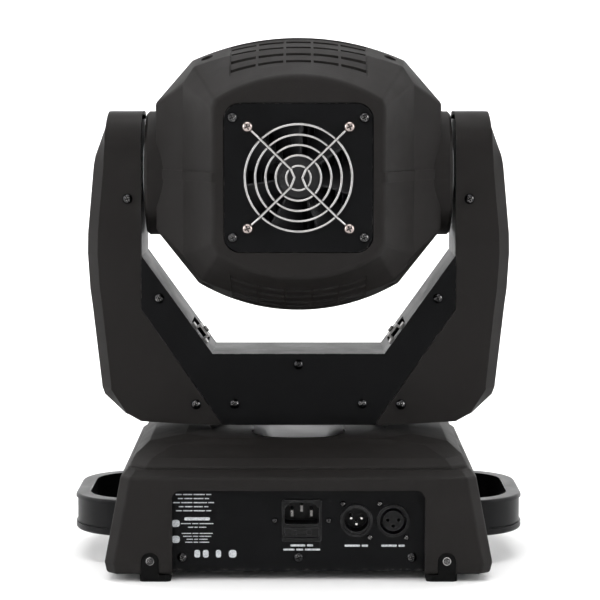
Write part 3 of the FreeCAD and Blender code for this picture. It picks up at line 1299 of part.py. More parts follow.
def plano_convex(centre_y, radius, edge, crown):
    """Lens about the head's axis: flat to the rear, domed to the front."""
    dome_r = (radius ** 2 + crown ** 2) / (2 * crown)
    disc = cylinder(V(0, centre_y, PIVOT_Z), Y_AXIS, radius, edge)
    ball = Part.makeSphere(dome_r, V(0, centre_y + edge + crown - dome_r, PIVOT_Z))
    cap = ball.common(cylinder(V(0, centre_y + edge - 0.01, PIVOT_Z), Y_AXIS, radius, crown + 1))
    return disc.fuse(cap)


def make_condenser():
    """Condenser lens in a metal ring on the wheel bracket."""
    return plano_convex(-20.0, 19.9, 3.0, 6.0)


def make_filter_wheel(x, y, holes, hole_r):
    """Thin wheel with a ring of holes whose top one sits on the optical axis."""
    wheel = cylinder(V(x, y, PIVOT_Z), Y_AXIS, WHEEL_R, 1.5)
    wheel = wheel.fuse(cylinder(V(x, y - 1.5, PIVOT_Z), Y_AXIS, 7.0, 3.5))
    for index in range(holes):
        angle = 2 * math.pi * index / holes
        sign = -1 if x > 0 else 1
        centre = V(x + sign * WHEEL_X * math.cos(angle), y - 1, PIVOT_Z + WHEEL_X * math.sin(angle))
        wheel = wheel.cut(cylinder(centre, Y_AXIS, hole_r, 4))
    return wheel.cut(cylinder(V(x, y - 5, PIVOT_Z), Y_AXIS, 2.0 + FIT, 15))


def make_color_wheel():
    """Wheel with seven dichroic filters glued on its front; one place stays open."""
    filters = []
    for index in range(1, COLOR_HOLES):
        angle = 2 * math.pi * index / COLOR_HOLES
        centre = V(
            WHEEL_X - WHEEL_X * math.cos(angle), COLOR_WHEEL_Y + 1.5, PIVOT_Z + WHEEL_X * math.sin(angle)
        )
        filters.append(cylinder(centre, Y_AXIS, FILTER_R, 1.0))
    return group([make_filter_wheel(WHEEL_X, COLOR_WHEEL_Y, COLOR_HOLES, FILTER_R - 0.6)] + filters)


def make_gobo_wheel():
    """Wheel with plain pattern openings: holes, bars and a cross."""
    wheel = make_filter_wheel(-WHEEL_X, GOBO_WHEEL_Y, GOBO_HOLES, 9.0)
    bars = []
    for index in range(1, GOBO_HOLES):
        angle = 2 * math.pi * index / GOBO_HOLES
        x = -WHEEL_X + WHEEL_X * math.cos(angle)
        z = PIVOT_Z + WHEEL_X * math.sin(angle)
        bars.append(box(x - 9.5, x + 9.5, GOBO_WHEEL_Y + 0.4, GOBO_WHEEL_Y + 1.1, z - 0.8, z + 0.8))
        if index % 2:
            bars.append(box(x - 0.8, x + 0.8, GOBO_WHEEL_Y + 0.4, GOBO_WHEEL_Y + 1.1, z - 9.5, z + 9.5))
    return wheel.multiFuse(bars)


def make_wheel_motor(x, shaft_end):
    """Small round stepping motor on the wheel bracket, shaft through its wheel."""
    start = WHEEL_BRACKET_Y + SHEET
    body = cylinder(V(x, start, PIVOT_Z), Y_AXIS, 9.5, 14.0)
    shaft = cylinder(V(x, start, PIVOT_Z), Y_AXIS, 2.0, shaft_end - start)
    lug = box(x - 3.5, x + 3.5, start, start + 1.0, PIVOT_Z - 14.0, PIVOT_Z + 14.0)
    return fuse([body, shaft, lug])


def make_focus_carriage():
    """Ring with two bored ears that slides on the rails."""
    ring = tube(V(0, FOCUS_Y, PIVOT_Z), Y_AXIS, 31.0, 25.0, 9.0)
    step = tube(V(0, FOCUS_Y, PIVOT_Z), Y_AXIS, 28.0, 22.5, 2.4)
    ears = []
    for sign in (-1, 1):
        z = sign * RAIL_Z
        ears.append(cylinder(V(0, FOCUS_Y, PIVOT_Z + z), Y_AXIS, 6.5, 9.0))
        low, high = sorted((z, sign * 29))
        ears.append(box(-5, 5, FOCUS_Y, FOCUS_Y + 9.0, PIVOT_Z + low, PIVOT_Z + high))
    carriage = fuse([ring, step] + ears)
    for sign in (-1, 1):
        bore = cylinder(V(0, FOCUS_Y - 5, PIVOT_Z + sign * RAIL_Z), Y_AXIS, RAIL_R + FIT, 30)
        carriage = carriage.cut(bore)
    return carriage


def make_focus_lens():
    """Lens in the focus carriage."""
    return plano_convex(FOCUS_Y + 2.4, 24.9, 2.6, 5.0)


def make_front_bezel():
    """Ring round the front lens, with a flange inside the casing."""
    ring = cylinder(V(0, 80.0, PIVOT_Z), Y_AXIS, BEZEL_R, BEZEL_FRONT_Y - 80.0)
    rim = [
        edge for edge in ring.Edges
        if abs(edge.CenterOfMass.y - BEZEL_FRONT_Y) < 0.1 and edge.Length > 300
    ]
    ring = ring.makeChamfer(2.0, rim)
    ring = ring.cut(cylinder(V(0, 70.0, PIVOT_Z), Y_AXIS, 46.0, 60))
    ring = ring.cut(cylinder(V(0, 104.0, PIVOT_Z), Y_AXIS, LENS_R + 0.2, 30))
    rear = tube(V(0, 84.0, PIVOT_Z), Y_AXIS, 47.0, 34.0, 2.0)
    grooves = []
    for y in (98.0, 102.0, 106.0, 110.0):
        grooves.append(tube(V(0, y, PIVOT_Z), Y_AXIS, BEZEL_R + 1, BEZEL_R - 1.2, 1.6))
    return cut_all(fuse([ring, rear]), grooves)


def make_front_lens():
    """Large plano-convex front lens."""
    return plano_convex(104.0, LENS_R, 4.0, 7.0)


# ------------------------------------------------------------------- whole model
def build_nodes():
    """Every sub-part by node name."""
    upper, lower = make_head_shells()
    cover = make_arm_cover()
    handle = make_handle()
    clip = make_cable_clip()
    nodes = {
        "base_cover_lower": make_base_cover_lower(),
        "base_cover_upper": make_base_cover_upper(),
        "base_tray": make_base_tray(),
        "rear_panel": make_rear_panel(),
        "iec_inlet": make_iec_inlet(),
        "fuse_drawer": make_fuse_drawer(),
        "xlr_input": make_xlr_input(),
        "xlr_output": make_xlr_output(),
        "feet": make_feet(),
        "handle_left": mirror_x(handle),
        "handle_right": handle,
        "base_screws": group(make_panel_screws() + make_foot_screws() + make_handle_bolts()),
        "control_panel": make_control_panel(),
        "display_window": make_display_window(),
        "power_supply": make_power_supply(),
        "base_boards": group([make_main_board(), make_display_board()]),
        "pan_column": make_pan_column(),
        "pan_pulley": make_pan_pulley(),
        "yoke_band": make_yoke_band(),
        "yoke_plate_rear": make_yoke_plate(-1),
        "yoke_plate_front": make_yoke_plate(1),
        "yoke_spacers": make_yoke_spacers(),
        "yoke_turntable": make_yoke_turntable(),
        "arm_cover_left": mirror_x(cover),
        "arm_cover_right": cover,
        "yoke_screws": group(make_yoke_plate_screws() + make_arm_cover_screws()),
        "cable_clips": group([clip, mirror_x(clip)]),
        "bearings": group([make_pan_bearing(), make_tilt_bearing(-1), make_tilt_bearing(1)]),
        "pan_motor": make_pan_motor(),
        "pan_motor_pulley": make_pan_motor_pulley(),
        "pan_belt": make_pan_belt(),
        "tilt_motor": make_tilt_motor(),
        "tilt_motor_pulley": make_tilt_motor_pulley(),
        "tilt_belt": make_tilt_belt(),
        "driver_board": make_driver_board(),
        "head_shell_top": upper,
        "head_shell_bottom": lower,
        "head_screws": group(make_shell_screws() + make_plate_screws()),
        "head_chassis": make_head_chassis(),
        "trunnions": group([make_trunnion(-1), make_trunnion(1)]),
        "tilt_pulley": make_tilt_pulley(),
        "rear_plate": make_rear_plate(),
        "fan_guard": make_fan_guard(),
        "fan_guard_screws": make_guard_screws(),
        "fan_frame": make_fan_frame(),
        "fan_rotor": make_fan_rotor(),
        "heat_sink": make_heat_sink(),
        "led_module": make_led_module(),
        "condenser_lens": make_condenser(),
        "wheel_motors": group([make_wheel_motor(WHEEL_X, COLOR_WHEEL_Y + 3.0),
                               make_wheel_motor(-WHEEL_X, GOBO_WHEEL_Y + 3.0)]),
        "color_wheel": make_color_wheel(),
        "gobo_wheel": make_gobo_wheel(),
        "focus_carriage": make_focus_carriage(),
        "focus_lens": make_focus_lens(),
        "front_bezel": make_front_bezel(),
        "front_lens": make_front_lens(),
    }
    for name, x in zip(("menu", "down", "up", "enter"), BUTTON_X):
        nodes["button_" + name] = make_button(x)
    return nodes


def clear_holes(nodes):
    """Take clearance holes for the screws out of the parts that they pass through."""
    rear = V(0, -1, 0)
    front = V(0, 1, 0)
    jobs = [
        (("rear_panel", "base_tray"), screw_holes(PANEL_SCREW_SEATS, rear, 1.6, 7.0)),
        (
            ("rear_panel", "iec_inlet", "xlr_input", "xlr_output"),
            screw_holes(INLET_SCREW_SEATS, rear, 1.35, 6.0),
        ),
        (("feet", "base_cover_lower"), screw_holes(FOOT_SCREW_SEATS[0::2], rear, 1.55, 10.0)),
        (("feet", "base_cover_lower"), screw_holes(FOOT_SCREW_SEATS[1::2], front, 1.55, 10.0)),
    ]
    for names, holes in jobs:
        for name in names:
            nodes[name] = cut_all(nodes[name], holes)
    sockets = [
        box(IEC_X - 13.5, IEC_X + 13.5, PANEL_Y - 5, PANEL_BACK + 1, IEC_Z - 14.1, IEC_Z + 14.1),
        cylinder(V(XLR_IN_X, PANEL_Y - 5, XLR_Z), Y_AXIS, XLR_R + 0.1, 10),
        cylinder(V(XLR_OUT_X, PANEL_Y - 5, XLR_Z), Y_AXIS, XLR_R + 0.1, 10),
    ]
    nodes["rear_panel"] = cut_all(nodes["rear_panel"], sockets)


def main():
    """Write one STEP file for each sub-part."""
    os.makedirs("parts", exist_ok=True)
    nodes = build_nodes()
    clear_holes(nodes)
    for name, shape in nodes.items():
        shape.exportStep("parts/" + name + ".step")


main()
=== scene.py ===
"""Looks of the moving head light, built round its CAD frame.  Lengths are in metres."""
import json
import math

import bmesh
import bpy
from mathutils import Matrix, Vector


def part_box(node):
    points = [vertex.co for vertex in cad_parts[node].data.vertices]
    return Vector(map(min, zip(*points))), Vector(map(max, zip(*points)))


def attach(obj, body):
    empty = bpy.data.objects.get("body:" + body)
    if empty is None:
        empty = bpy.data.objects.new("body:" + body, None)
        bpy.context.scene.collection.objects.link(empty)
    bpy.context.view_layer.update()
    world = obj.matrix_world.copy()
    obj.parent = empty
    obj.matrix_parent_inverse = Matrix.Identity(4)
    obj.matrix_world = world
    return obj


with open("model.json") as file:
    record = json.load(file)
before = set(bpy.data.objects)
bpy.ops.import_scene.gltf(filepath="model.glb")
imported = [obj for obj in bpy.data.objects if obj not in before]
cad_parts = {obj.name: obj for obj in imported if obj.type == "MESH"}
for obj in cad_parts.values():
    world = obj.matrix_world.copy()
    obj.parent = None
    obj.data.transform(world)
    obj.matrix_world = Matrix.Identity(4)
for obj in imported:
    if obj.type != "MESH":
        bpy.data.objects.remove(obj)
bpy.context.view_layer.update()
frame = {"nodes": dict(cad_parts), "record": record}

MM = 0.001
NODES = frame["nodes"]
SLOT_OF = {part["node"]: part["material_slot"] for part in frame["record"]["subparts"]}


# ------------------------------------------------------------------ shader helpers
class Shader:
    """A node material under construction, with short names for what it uses often."""

    def __init__(self, name, colour, roughness, metallic=0.0):
        self.material = bpy.data.materials.new(name)
        self.material.use_nodes = True
        self.tree = self.material.node_tree
        self.bsdf = self.tree.nodes["Principled BSDF"]
        self.bsdf.inputs["Base Color"].default_value = (*colour, 1.0)
        self.bsdf.inputs["Roughness"].default_value = roughness
        self.bsdf.inputs["Metallic"].default_value = metallic
        self.coords = self.add("ShaderNodeTexCoord").outputs["Object"]
        self.heights = []

    def add(self, kind, **settings):
        """New node; settings are its properties."""
        node = self.tree.nodes.new(kind)
        for key, value in settings.items():
            setattr(node, key, value)
        return node

    def link(self, source, target):
        """Wire between two sockets."""
        self.tree.links.new(source, target)

    def stretched(self, scale):
        """Object coordinates scaled by three factors."""
        mapping = self.add("ShaderNodeMapping")
        mapping.inputs["Scale"].default_value = scale
        self.link(self.coords, mapping.inputs["Vector"])
        return mapping.outputs["Vector"]

    def noise(self, scale, detail=3.0, roughness=0.55, vector=None):
        """Fractal noise from 0 to 1."""
        node = self.add("ShaderNodeTexNoise")
        node.inputs["Scale"].default_value = scale
        node.inputs["Detail"].default_value = detail
        node.inputs["Roughness"].default_value = roughness
        self.link(vector or self.coords, node.inputs["Vector"])
        return node.outputs["Fac"]

    def cells(self, scale, feature="F1"):
        """Distance to the nearest of a field of random points."""
        node = self.add("ShaderNodeTexVoronoi", feature=feature)
        node.inputs["Scale"].default_value = scale
        self.link(self.coords, node.inputs["Vector"])
        return node.outputs["Distance"]

    def ranged(self, value, from_low, from_high, to_low, to_high):
        """Value mapped from one range to another, kept inside it."""
        node = self.add("ShaderNodeMapRange")
        for index, number in enumerate((from_low, from_high, to_low, to_high), start=1):
            node.inputs[index].default_value = number
        self.link(value, node.inputs[0])
        return node.outputs[0]

    def math(self, operation, first, second):
        """Sum, product and so on of a socket with a socket or a number."""
        node = self.add("ShaderNodeMath", operation=operation)
        self.link(first, node.inputs[0])
        if isinstance(second, (int, float)):
            node.inputs[1].default_value = second
        else:
            self.link(second, node.inputs[1])
        return node.outputs[0]

    def mixed(self, factor, first, second):
        """Blend of two colours; each is a socket or three numbers."""
        node = self.add("ShaderNodeMix", data_type="RGBA")
        self.link(factor, node.inputs["Factor"])
        for socket, value in ((node.inputs["A"], first), (node.inputs["B"], second)):
            if isinstance(value, (tuple, list)):
                socket.default_value = (*value, 1.0)
            else:
                self.link(value, socket)
        return node.outputs["Result"]

    def edges(self, radius):
        """1 along sharp edges, 0 on flats."""
        bevel = self.add("ShaderNodeBevel", samples=4)
        bevel.inputs["Radius"].default_value = radius
        geometry = self.add("ShaderNodeNewGeometry")
        dot = self.add("ShaderNodeVectorMath", operation="DOT_PRODUCT")
        self.link(bevel.outputs["Normal"], dot.inputs[0])
        self.link(geometry.outputs["Normal"], dot.inputs[1])
        return self.ranged(dot.outputs["Value"], 0.985, 0.90, 0.0, 1.0)

    def cavities(self, distance):
        """1 deep in small recesses, 0 on open faces."""
        shelter = self.add("ShaderNodeAmbientOcclusion", samples=8, only_local=True)
        shelter.inputs["Distance"].default_value = distance
        return self.ranged(shelter.outputs["AO"], 0.60, 0.94, 1.0, 0.0)

    def upward(self):
        """1 on faces that look up, 0 on the others."""
        geometry = self.add("ShaderNodeNewGeometry")
        split = self.add("ShaderNodeSeparateXYZ")
        self.link(geometry.outputs["Normal"], split.inputs[0])
        return self.ranged(split.outputs["Z"], 0.55, 1.0, 0.0, 1.0)

    def bump(self, height, depth):
        """Add a height field, in metres of relief."""
        self.heights.append((height, depth))

    def set_colour(self, socket):
        """Colour that varies over the surface."""
        self.link(socket, self.bsdf.inputs["Base Color"])

    def set_roughness(self, socket):
        """Roughness that varies over the surface."""
        self.link(socket, self.bsdf.inputs["Roughness"])

    def constant(self, **values):
        """Numbers set on the shader's own sockets."""
        for name, value in values.items():
            self.bsdf.inputs[name.replace("_", " ")].default_value = value

    def done(self):
        """Chain the bumps and return the material."""
        normal = None
        for height, depth in self.heights:
            node = self.add("ShaderNodeBump")
            node.inputs["Distance"].default_value = depth
            node.inputs["Strength"].default_value = 1.0
            self.link(height, node.inputs["Height"])
            if normal is not None:
                self.link(normal, node.inputs["Normal"])
            normal = node.outputs["Normal"]
        if normal is not None:
            self.link(normal, self.bsdf.inputs["Normal"])
        return self.material


def shade(colour, factor):
    """Colour made lighter or darker."""
    return tuple(min(1.0, channel * factor) for channel in colour)


# ----------------------------------------------------------------------- materials
def moulded(name, colour, roughness, grain, relief, wear_and_highlight, gloss=0.25, spread=0.16, rim_rub_and_highlight=3.2):
    """Moulded plastic: eroded grain, cloudy tone, edges lighter from rubbing and from a painted
    highlight, and a little dust on top.
    """
    m = Shader(name, colour, roughness)
    cloud = m.noise(22.0, 4.0)
    fine = m.noise(grain, 2.0)
    darker, lighter = shade(colour, 1 - spread), shade(colour, 1 + spread)
    tone = m.mixed(m.ranged(cloud, 0.3, 0.7, 0, 1), darker, lighter)
    speck = m.mixed(m.ranged(fine, 0.35, 0.7, 0, 1), shade(colour, 0.82), tone)
    patches = m.ranged(m.noise(120.0, 4.0), 0.42, 0.62, 0.15, 1.0)
    # edge mask in patches: rubbed wear plus a painted highlight along the edges
    rub_and_highlight = m.math("MULTIPLY", m.edges(0.8 * MM), patches)
    dust = m.math("MULTIPLY", m.upward(), m.ranged(m.noise(60.0, 5.0), 0.45, 0.8, 0.0, 0.12))
    dusty = m.mixed(dust, speck, shade(colour, 2.4))
    m.set_colour(m.mixed(m.math("MULTIPLY", rub_and_highlight, wear_and_highlight), dusty, shade(colour, rim_rub_and_highlight)))
    base = m.ranged(m.noise(45.0, 5.0), 0.3, 0.7, roughness - 0.05, roughness + 0.06)
    m.set_roughness(m.math("SUBTRACT", base, m.math("MULTIPLY", rub_and_highlight, 0.12)))
    m.bump(fine, relief)
    m.bump(m.cells(grain * 0.55), relief * 0.7)
    m.constant(Specular_IOR_Level=gloss)
    return m.done()


def powder_coat(name, colour, roughness, grain, relief, wear_and_highlight, gloss=0.2):
    """Powder-coated sheet: fine orange peel, faint handling marks and bright chips on its edges, which
    also serve as a painted edge highlight.
    """
    m = Shader(name, colour, roughness)
    peel = m.noise(grain, 2.0)
    marks = m.noise(35.0, 6.0, 0.7)
    tone = m.mixed(m.ranged(marks, 0.35, 0.7, 0, 1), shade(colour, 0.8), shade(colour, 1.35))
    # bright edge marks: paint chips plus a painted highlight along the edges
    patches = m.ranged(m.noise(260.0, 3.0), 0.5, 0.62, 0.0, 1.0)
    chips_and_highlight = m.math("MULTIPLY", m.edges(0.35 * MM), patches)
    m.set_colour(m.mixed(m.math("MULTIPLY", chips_and_highlight, wear_and_highlight), tone, (0.30, 0.29, 0.28)))
    m.set_roughness(m.ranged(marks, 0.3, 0.75, roughness - 0.08, roughness + 0.08))
    m.bump(peel, relief)
    m.constant(Specular_IOR_Level=gloss)
    return m.done()


def metal(name, colour, roughness, scratch, stretch, relief, stain=0.12):
    """Bare metal with fine tool marks along one direction and slight staining."""
    m = Shader(name, colour, roughness, 1.0)
    lines = m.noise(scratch, 3.0, 0.6, m.stretched(stretch))
    stains = m.noise(60.0, 4.0)
    tone = m.mixed(m.ranged(stains, 0.35, 0.75, 0, 1), colour, shade(colour, 1 - 2 * stain))
    m.set_colour(m.mixed(m.ranged(lines, 0.3, 0.7, 0, 0.35), tone, shade(colour, 0.72)))
    m.set_roughness(m.ranged(lines, 0.3, 0.7, roughness - 0.06, roughness + 0.10))
    m.bump(lines, relief)
    return m.done()


def turned(name, colour, roughness):
    """Lathe-turned aluminium: rings of fine grooves round the vertical axis."""
    m = Shader(name, colour, roughness, 1.0)
    rings = m.noise(900.0, 2.0, 0.5, m.stretched((0.03, 0.03, 1.0)))
    broad = m.noise(90.0, 2.0, 0.5, m.stretched((0.15, 0.15, 1.0)))
    m.set_colour(m.mixed(m.ranged(rings, 0.3, 0.7, 0, 0.3), colour, shade(colour, 0.8)))
    m.set_roughness(m.ranged(broad, 0.3, 0.7, roughness - 0.07, roughness + 0.07))
    m.bump(rings, 0.000003)
    return m.done()


def plated(name, bright, hazy, shadow, roughness=0.08):
    """Plating with faint haze and painted shade in its recesses."""
    m = Shader(name, bright, roughness, 1.0)
    haze = m.noise(300.0, 4.0)
    tone = m.mixed(m.ranged(haze, 0.4, 0.75, 0, 0.5), bright, hazy)
    # painted shade: recesses darkened towards the shadow colour
    m.set_colour(m.mixed(m.cavities(1.6 * MM), tone, shadow))
    m.set_roughness(m.ranged(haze, 0.3, 0.7, roughness, roughness + 0.12))
    m.bump(m.noise(900.0, 2.0), 0.000004)
    return m.done()


def black_oxide(name):
    """Oiled black screw heads: dark metal, painted shade in the recess and a painted highlight on the
    rim, broken in places.
    """
    m = Shader(name, (0.05, 0.05, 0.052), 0.2, 1.0)
    grime = m.noise(700.0, 4.0)
    patches = m.ranged(m.noise(150.0, 2.0), 0.42, 0.58, 0.1, 1.0)
    # painted highlight along the rim, broken into patches
    rub_and_highlight = m.math("MULTIPLY", m.edges(0.5 * MM), patches)
    tone = m.mixed(m.ranged(grime, 0.35, 0.7, 0, 1), (0.02, 0.02, 0.021), (0.05, 0.05, 0.052))
    rim_highlighted = m.mixed(rub_and_highlight, tone, (0.50, 0.49, 0.48))
    # painted shade: recess darkened to near black
    m.set_colour(m.mixed(m.cavities(1.6 * MM), rim_highlighted, (0.003, 0.003, 0.003)))
    m.set_roughness(m.ranged(grime, 0.3, 0.7, 0.14, 0.26))
    m.bump(grime, 0.000002)
    return m.done()


def rubber(name, colour):
    """Matt rubber with chalky scuffs low down."""
    m = Shader(name, colour, 0.72)
    scuff = m.noise(140.0, 5.0, 0.65)
    m.set_colour(m.mixed(m.ranged(scuff, 0.5, 0.75, 0, 1), colour, shade(colour, 2.6)))
    m.set_roughness(m.ranged(scuff, 0.3, 0.7, 0.55, 0.75))
    m.bump(m.noise(1500.0, 2.0), 0.00003)
    m.constant(Specular_IOR_Level=0.08)
    return m.done()


def glass(name, colour, roughness, transmission):
    """Clear or smoked glass with a trace of dust."""
    m = Shader(name, colour, roughness)
    dust = m.noise(220.0, 5.0, 0.7)
    m.set_roughness(m.ranged(dust, 0.5, 0.8, roughness, roughness + 0.12))
    m.set_colour(m.mixed(m.ranged(dust, 0.55, 0.85, 0, 0.3), colour, shade(colour, 0.85)))
    m.constant(Transmission_Weight=transmission, IOR=1.5, Specular_IOR_Level=0.6)
    m.bump(dust, 0.000003)
    return m.done()


def circuit(name):
    """Green solder mask with copper traces showing through as lighter lanes."""
    m = Shader(name, (0.012, 0.075, 0.03), 0.35)
    lanes = m.cells(170.0, "DISTANCE_TO_EDGE")
    trace = m.ranged(lanes, 0.02, 0.05, 1.0, 0.0)
    m.set_colour(m.mixed(trace, (0.01, 0.06, 0.026), (0.03, 0.16, 0.05)))
    m.set_roughness(m.ranged(m.noise(90.0), 0.3, 0.7, 0.28, 0.42))
    m.bump(trace, 0.00003)
    return m.done()


def ceramic_board(name):
    """White aluminium-core board with a yellow phosphor tint."""
    m = Shader(name, (0.82, 0.78, 0.55), 0.4)
    spots = m.noise(400.0, 3.0)
    m.set_colour(m.mixed(m.ranged(spots, 0.4, 0.7, 0, 1), (0.84, 0.82, 0.66), (0.78, 0.68, 0.32)))
    m.set_roughness(m.ranged(spots, 0.3, 0.7, 0.3, 0.5))
    m.bump(spots, 0.00001)
    return m.done()


def print_ink(name):
    """Screen-printed pale ink, a little uneven."""
    m = Shader(name, (0.62, 0.64, 0.66), 0.55)
    wear = m.noise(900.0, 4.0)
    m.set_colour(m.mixed(m.ranged(wear, 0.35, 0.7, 0, 1), (0.36, 0.38, 0.40), (0.70, 0.72, 0.74)))
    m.set_roughness(m.ranged(wear, 0.3, 0.7, 0.45, 0.65))
    m.bump(wear, 0.00001)
    return m.done()


# Noise scale factors: grain that runs across one axis, or along one
ACROSS_X = (1.0, 0.05, 0.05)
ACROSS_Y = (0.05, 1.0, 0.05)
ALONG_Y = (1.0, 0.05, 1.0)

MATERIALS = {
    "shell_plastic": moulded(
        "shell_plastic", (0.0105, 0.0092, 0.0086), roughness=0.62, grain=1500.0,
        relief=0.05 * MM, wear_and_highlight=0.35, gloss=0.16,
    ),
    "handle_plastic": moulded(
        "handle_plastic", (0.0045, 0.0045, 0.005), roughness=0.38, grain=900.0,
        relief=0.01 * MM, wear_and_highlight=0.25, gloss=0.13,
    ),
    # connector rims lightened strongly: a painted highlight over the rubbing
    "connector_plastic": moulded(
        "connector_plastic", (0.0028, 0.0028, 0.0029), roughness=0.36, grain=1800.0,
        relief=0.01 * MM, wear_and_highlight=1.0, gloss=0.16, rim_rub_and_highlight=22.0,
    ),
    "fan_plastic": moulded(
        "fan_plastic", (0.011, 0.011, 0.0125), roughness=0.3, grain=1200.0,
        relief=0.008 * MM, wear_and_highlight=0.4, gloss=0.28,
    ),
    "button_plastic": moulded(
        "button_plastic", (0.05, 0.05, 0.054), roughness=0.38, grain=1300.0, relief=0.02 * MM, wear_and_highlight=0.5,
    ),
    "black_steel": powder_coat(
        "black_steel", (0.0026, 0.0027, 0.0031), roughness=0.45, grain=1300.0,
        relief=0.02 * MM, wear_and_highlight=0.8, gloss=0.08,
    ),
    "motor_steel": powder_coat(
        "motor_steel", (0.05, 0.05, 0.055), roughness=0.4, grain=600.0, relief=0.02 * MM, wear_and_highlight=0.4,
    ),
    "plain_steel": metal(
        "plain_steel", (0.55, 0.56, 0.57), roughness=0.32, scratch=500.0, stretch=ACROSS_X,
        relief=0.01 * MM,
    ),
    "wheel_steel": metal(
        "wheel_steel", (0.5, 0.5, 0.5), roughness=0.28, scratch=400.0, stretch=ACROSS_Y,
        relief=0.01 * MM,
    ),
    "turned_aluminium": turned("turned_aluminium", (0.88, 0.88, 0.89), roughness=0.38),
    "bright_chrome": plated(
        "bright_chrome", bright=(0.46, 0.455, 0.45), hazy=(0.32, 0.31, 0.30), shadow=(0.06, 0.055, 0.05),
    ),
    "black_screw": black_oxide("black_screw"),
    "foot_rubber": rubber("foot_rubber", (0.002, 0.002, 0.002)),
    "belt_rubber": rubber("belt_rubber", (0.014, 0.014, 0.014)),
    "clear_glass": glass("clear_glass", (0.93, 0.95, 0.96), roughness=0.02, transmission=1.0),
    "tinted_window": glass("tinted_window", (0.02, 0.025, 0.04), roughness=0.05, transmission=0.35),
    "circuit_board": circuit("circuit_board"),
    "led_ceramic": ceramic_board("led_ceramic"),
}
INK = print_ink("panel_ink")
# Metal painted near black as shade for the heat sink and head chassis inside the head
SHADE_DARKENED_METAL = metal(
    "shade_darkened_metal", (0.035, 0.035, 0.038), roughness=0.5, scratch=500.0, stretch=ACROSS_Y,
    relief=0.01 * MM,
)
PIN_METAL = metal(
    "pin_metal", (0.80, 0.79, 0.76), roughness=0.2, scratch=900.0, stretch=ALONG_Y,
    relief=0.005 * MM, stain=0.05,
)
BLADE_METAL = metal(
    "blade_metal", (0.17, 0.165, 0.16), roughness=0.3, scratch=900.0, stretch=ALONG_Y,
    relief=0.005 * MM,
)
NICKEL_SCREW = plated(
    "nickel_screw", bright=(0.40, 0.345, 0.325), hazy=(0.24, 0.195, 0.18), shadow=(0.012, 0.009, 0.008),
)
CLIP_STEEL = plated(
    "clip_steel", bright=(0.20, 0.195, 0.19), hazy=(0.12, 0.115, 0.11), shadow=(0.02, 0.019, 0.018),
    roughness=0.34,
)
SPECIAL = {
    "heat_sink": SHADE_DARKENED_METAL,
    "head_chassis": SHADE_DARKENED_METAL,
    "fan_guard_screws": NICKEL_SCREW,
    "cable_clips": CLIP_STEEL,
}

for node, thing in NODES.items():
    thing.data.materials.clear()
    thing.data.materials.append(SPECIAL.get(node, MATERIALS[SLOT_OF[node]]))


# --------------------------------------------------------------------- mesh helpers
def loose_parts(mesh):
    """Polygon indices of each separate solid in a mesh, joined where points coincide."""
    keys = {}
    owner = list(range(len(mesh.vertices)))

    def root(index):
        while owner[index] != index:
            owner[index] = owner[owner[index]]
            index = owner[index]
        return index

    for vertex in mesh.vertices:
        key = tuple(round(value * 2e6) for value in vertex.co)
        first = keys.setdefault(key, vertex.index)
        owner[root(vertex.index)] = root(first)
    for polygon in mesh.polygons:
        first = root(polygon.vertices[0])
        for index in polygon.vertices[1:]:
            owner[root(index)] = first
            first = root(first)
    parts = {}
    for polygon in mesh.polygons:
        parts.setdefault(root(polygon.vertices[0]), []).append(polygon.index)
    return list(parts.values())


def dress_solids(node, material, chosen):
    """Second material on the solids of a node that the test picks by their box."""
    mesh = NODES[node].data
    mesh.materials.append(material)
    slot = len(mesh.materials) - 1
    for part in loose_parts(mesh):
        corners = {index for polygon in part for index in mesh.polygons[polygon].vertices}
        points = [mesh.vertices[index].co for index in corners]
        low = Vector(map(min, zip(*points)))
        high = Vector(map(max, zip(*points)))
        if chosen(low, high):
            for polygon in part:
                mesh.polygons[polygon].material_index = slot


def soften(node, width, segments=2, angle=28.0):
    """Weld the CAD mesh and round its sharp edges with modifiers."""
    thing = NODES[node]
    weld = thing.modifiers.new("weld", "WELD")
    weld.merge_threshold = 0.004 * MM
    flat = thing.modifiers.new("flat", "DECIMATE")
    flat.decimate_type = "DISSOLVE"
    flat.angle_limit = math.radians(0.6)
    bevel = thing.modifiers.new("bevel", "BEVEL")
    bevel.width = width
    bevel.segments = segments
    bevel.limit_method = "ANGLE"
    bevel.angle_limit = math.radians(angle)
    bevel.use_clamp_overlap = True
    bevel.harden_normals = False
    bevel.miter_outer = "MITER_ARC"
    smooth = thing.modifiers.new("normals", "WEIGHTED_NORMAL")
    smooth.keep_sharp = True


def new_piece(name, mesh_code, material, body):
    """Object from mesh code, riding on a body."""
    mesh = bpy.data.meshes.new(name)
    work = bmesh.new()
    mesh_code(work)
    bmesh.ops.recalc_face_normals(work, faces=work.faces)
    work.to_mesh(mesh)
    work.free()
    mesh.materials.append(material)
    thing = bpy.data.objects.new(name, mesh)
    bpy.context.scene.collection.objects.link(thing)
    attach(thing, body)
    return thing


# ------------------------------------------------------------------- printed marks
panel_low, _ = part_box("rear_panel")
PANEL_FACE_Y = panel_low.y
INK_DEPTH = 0.06 * MM
NOTICE_X = -74.0       # middle of the block of small print, in millimetres like all of the print
INDENTED_X = -71.5     # middle of its lower lines
SIGN_X = -86.6         # middle of the two marks beside them


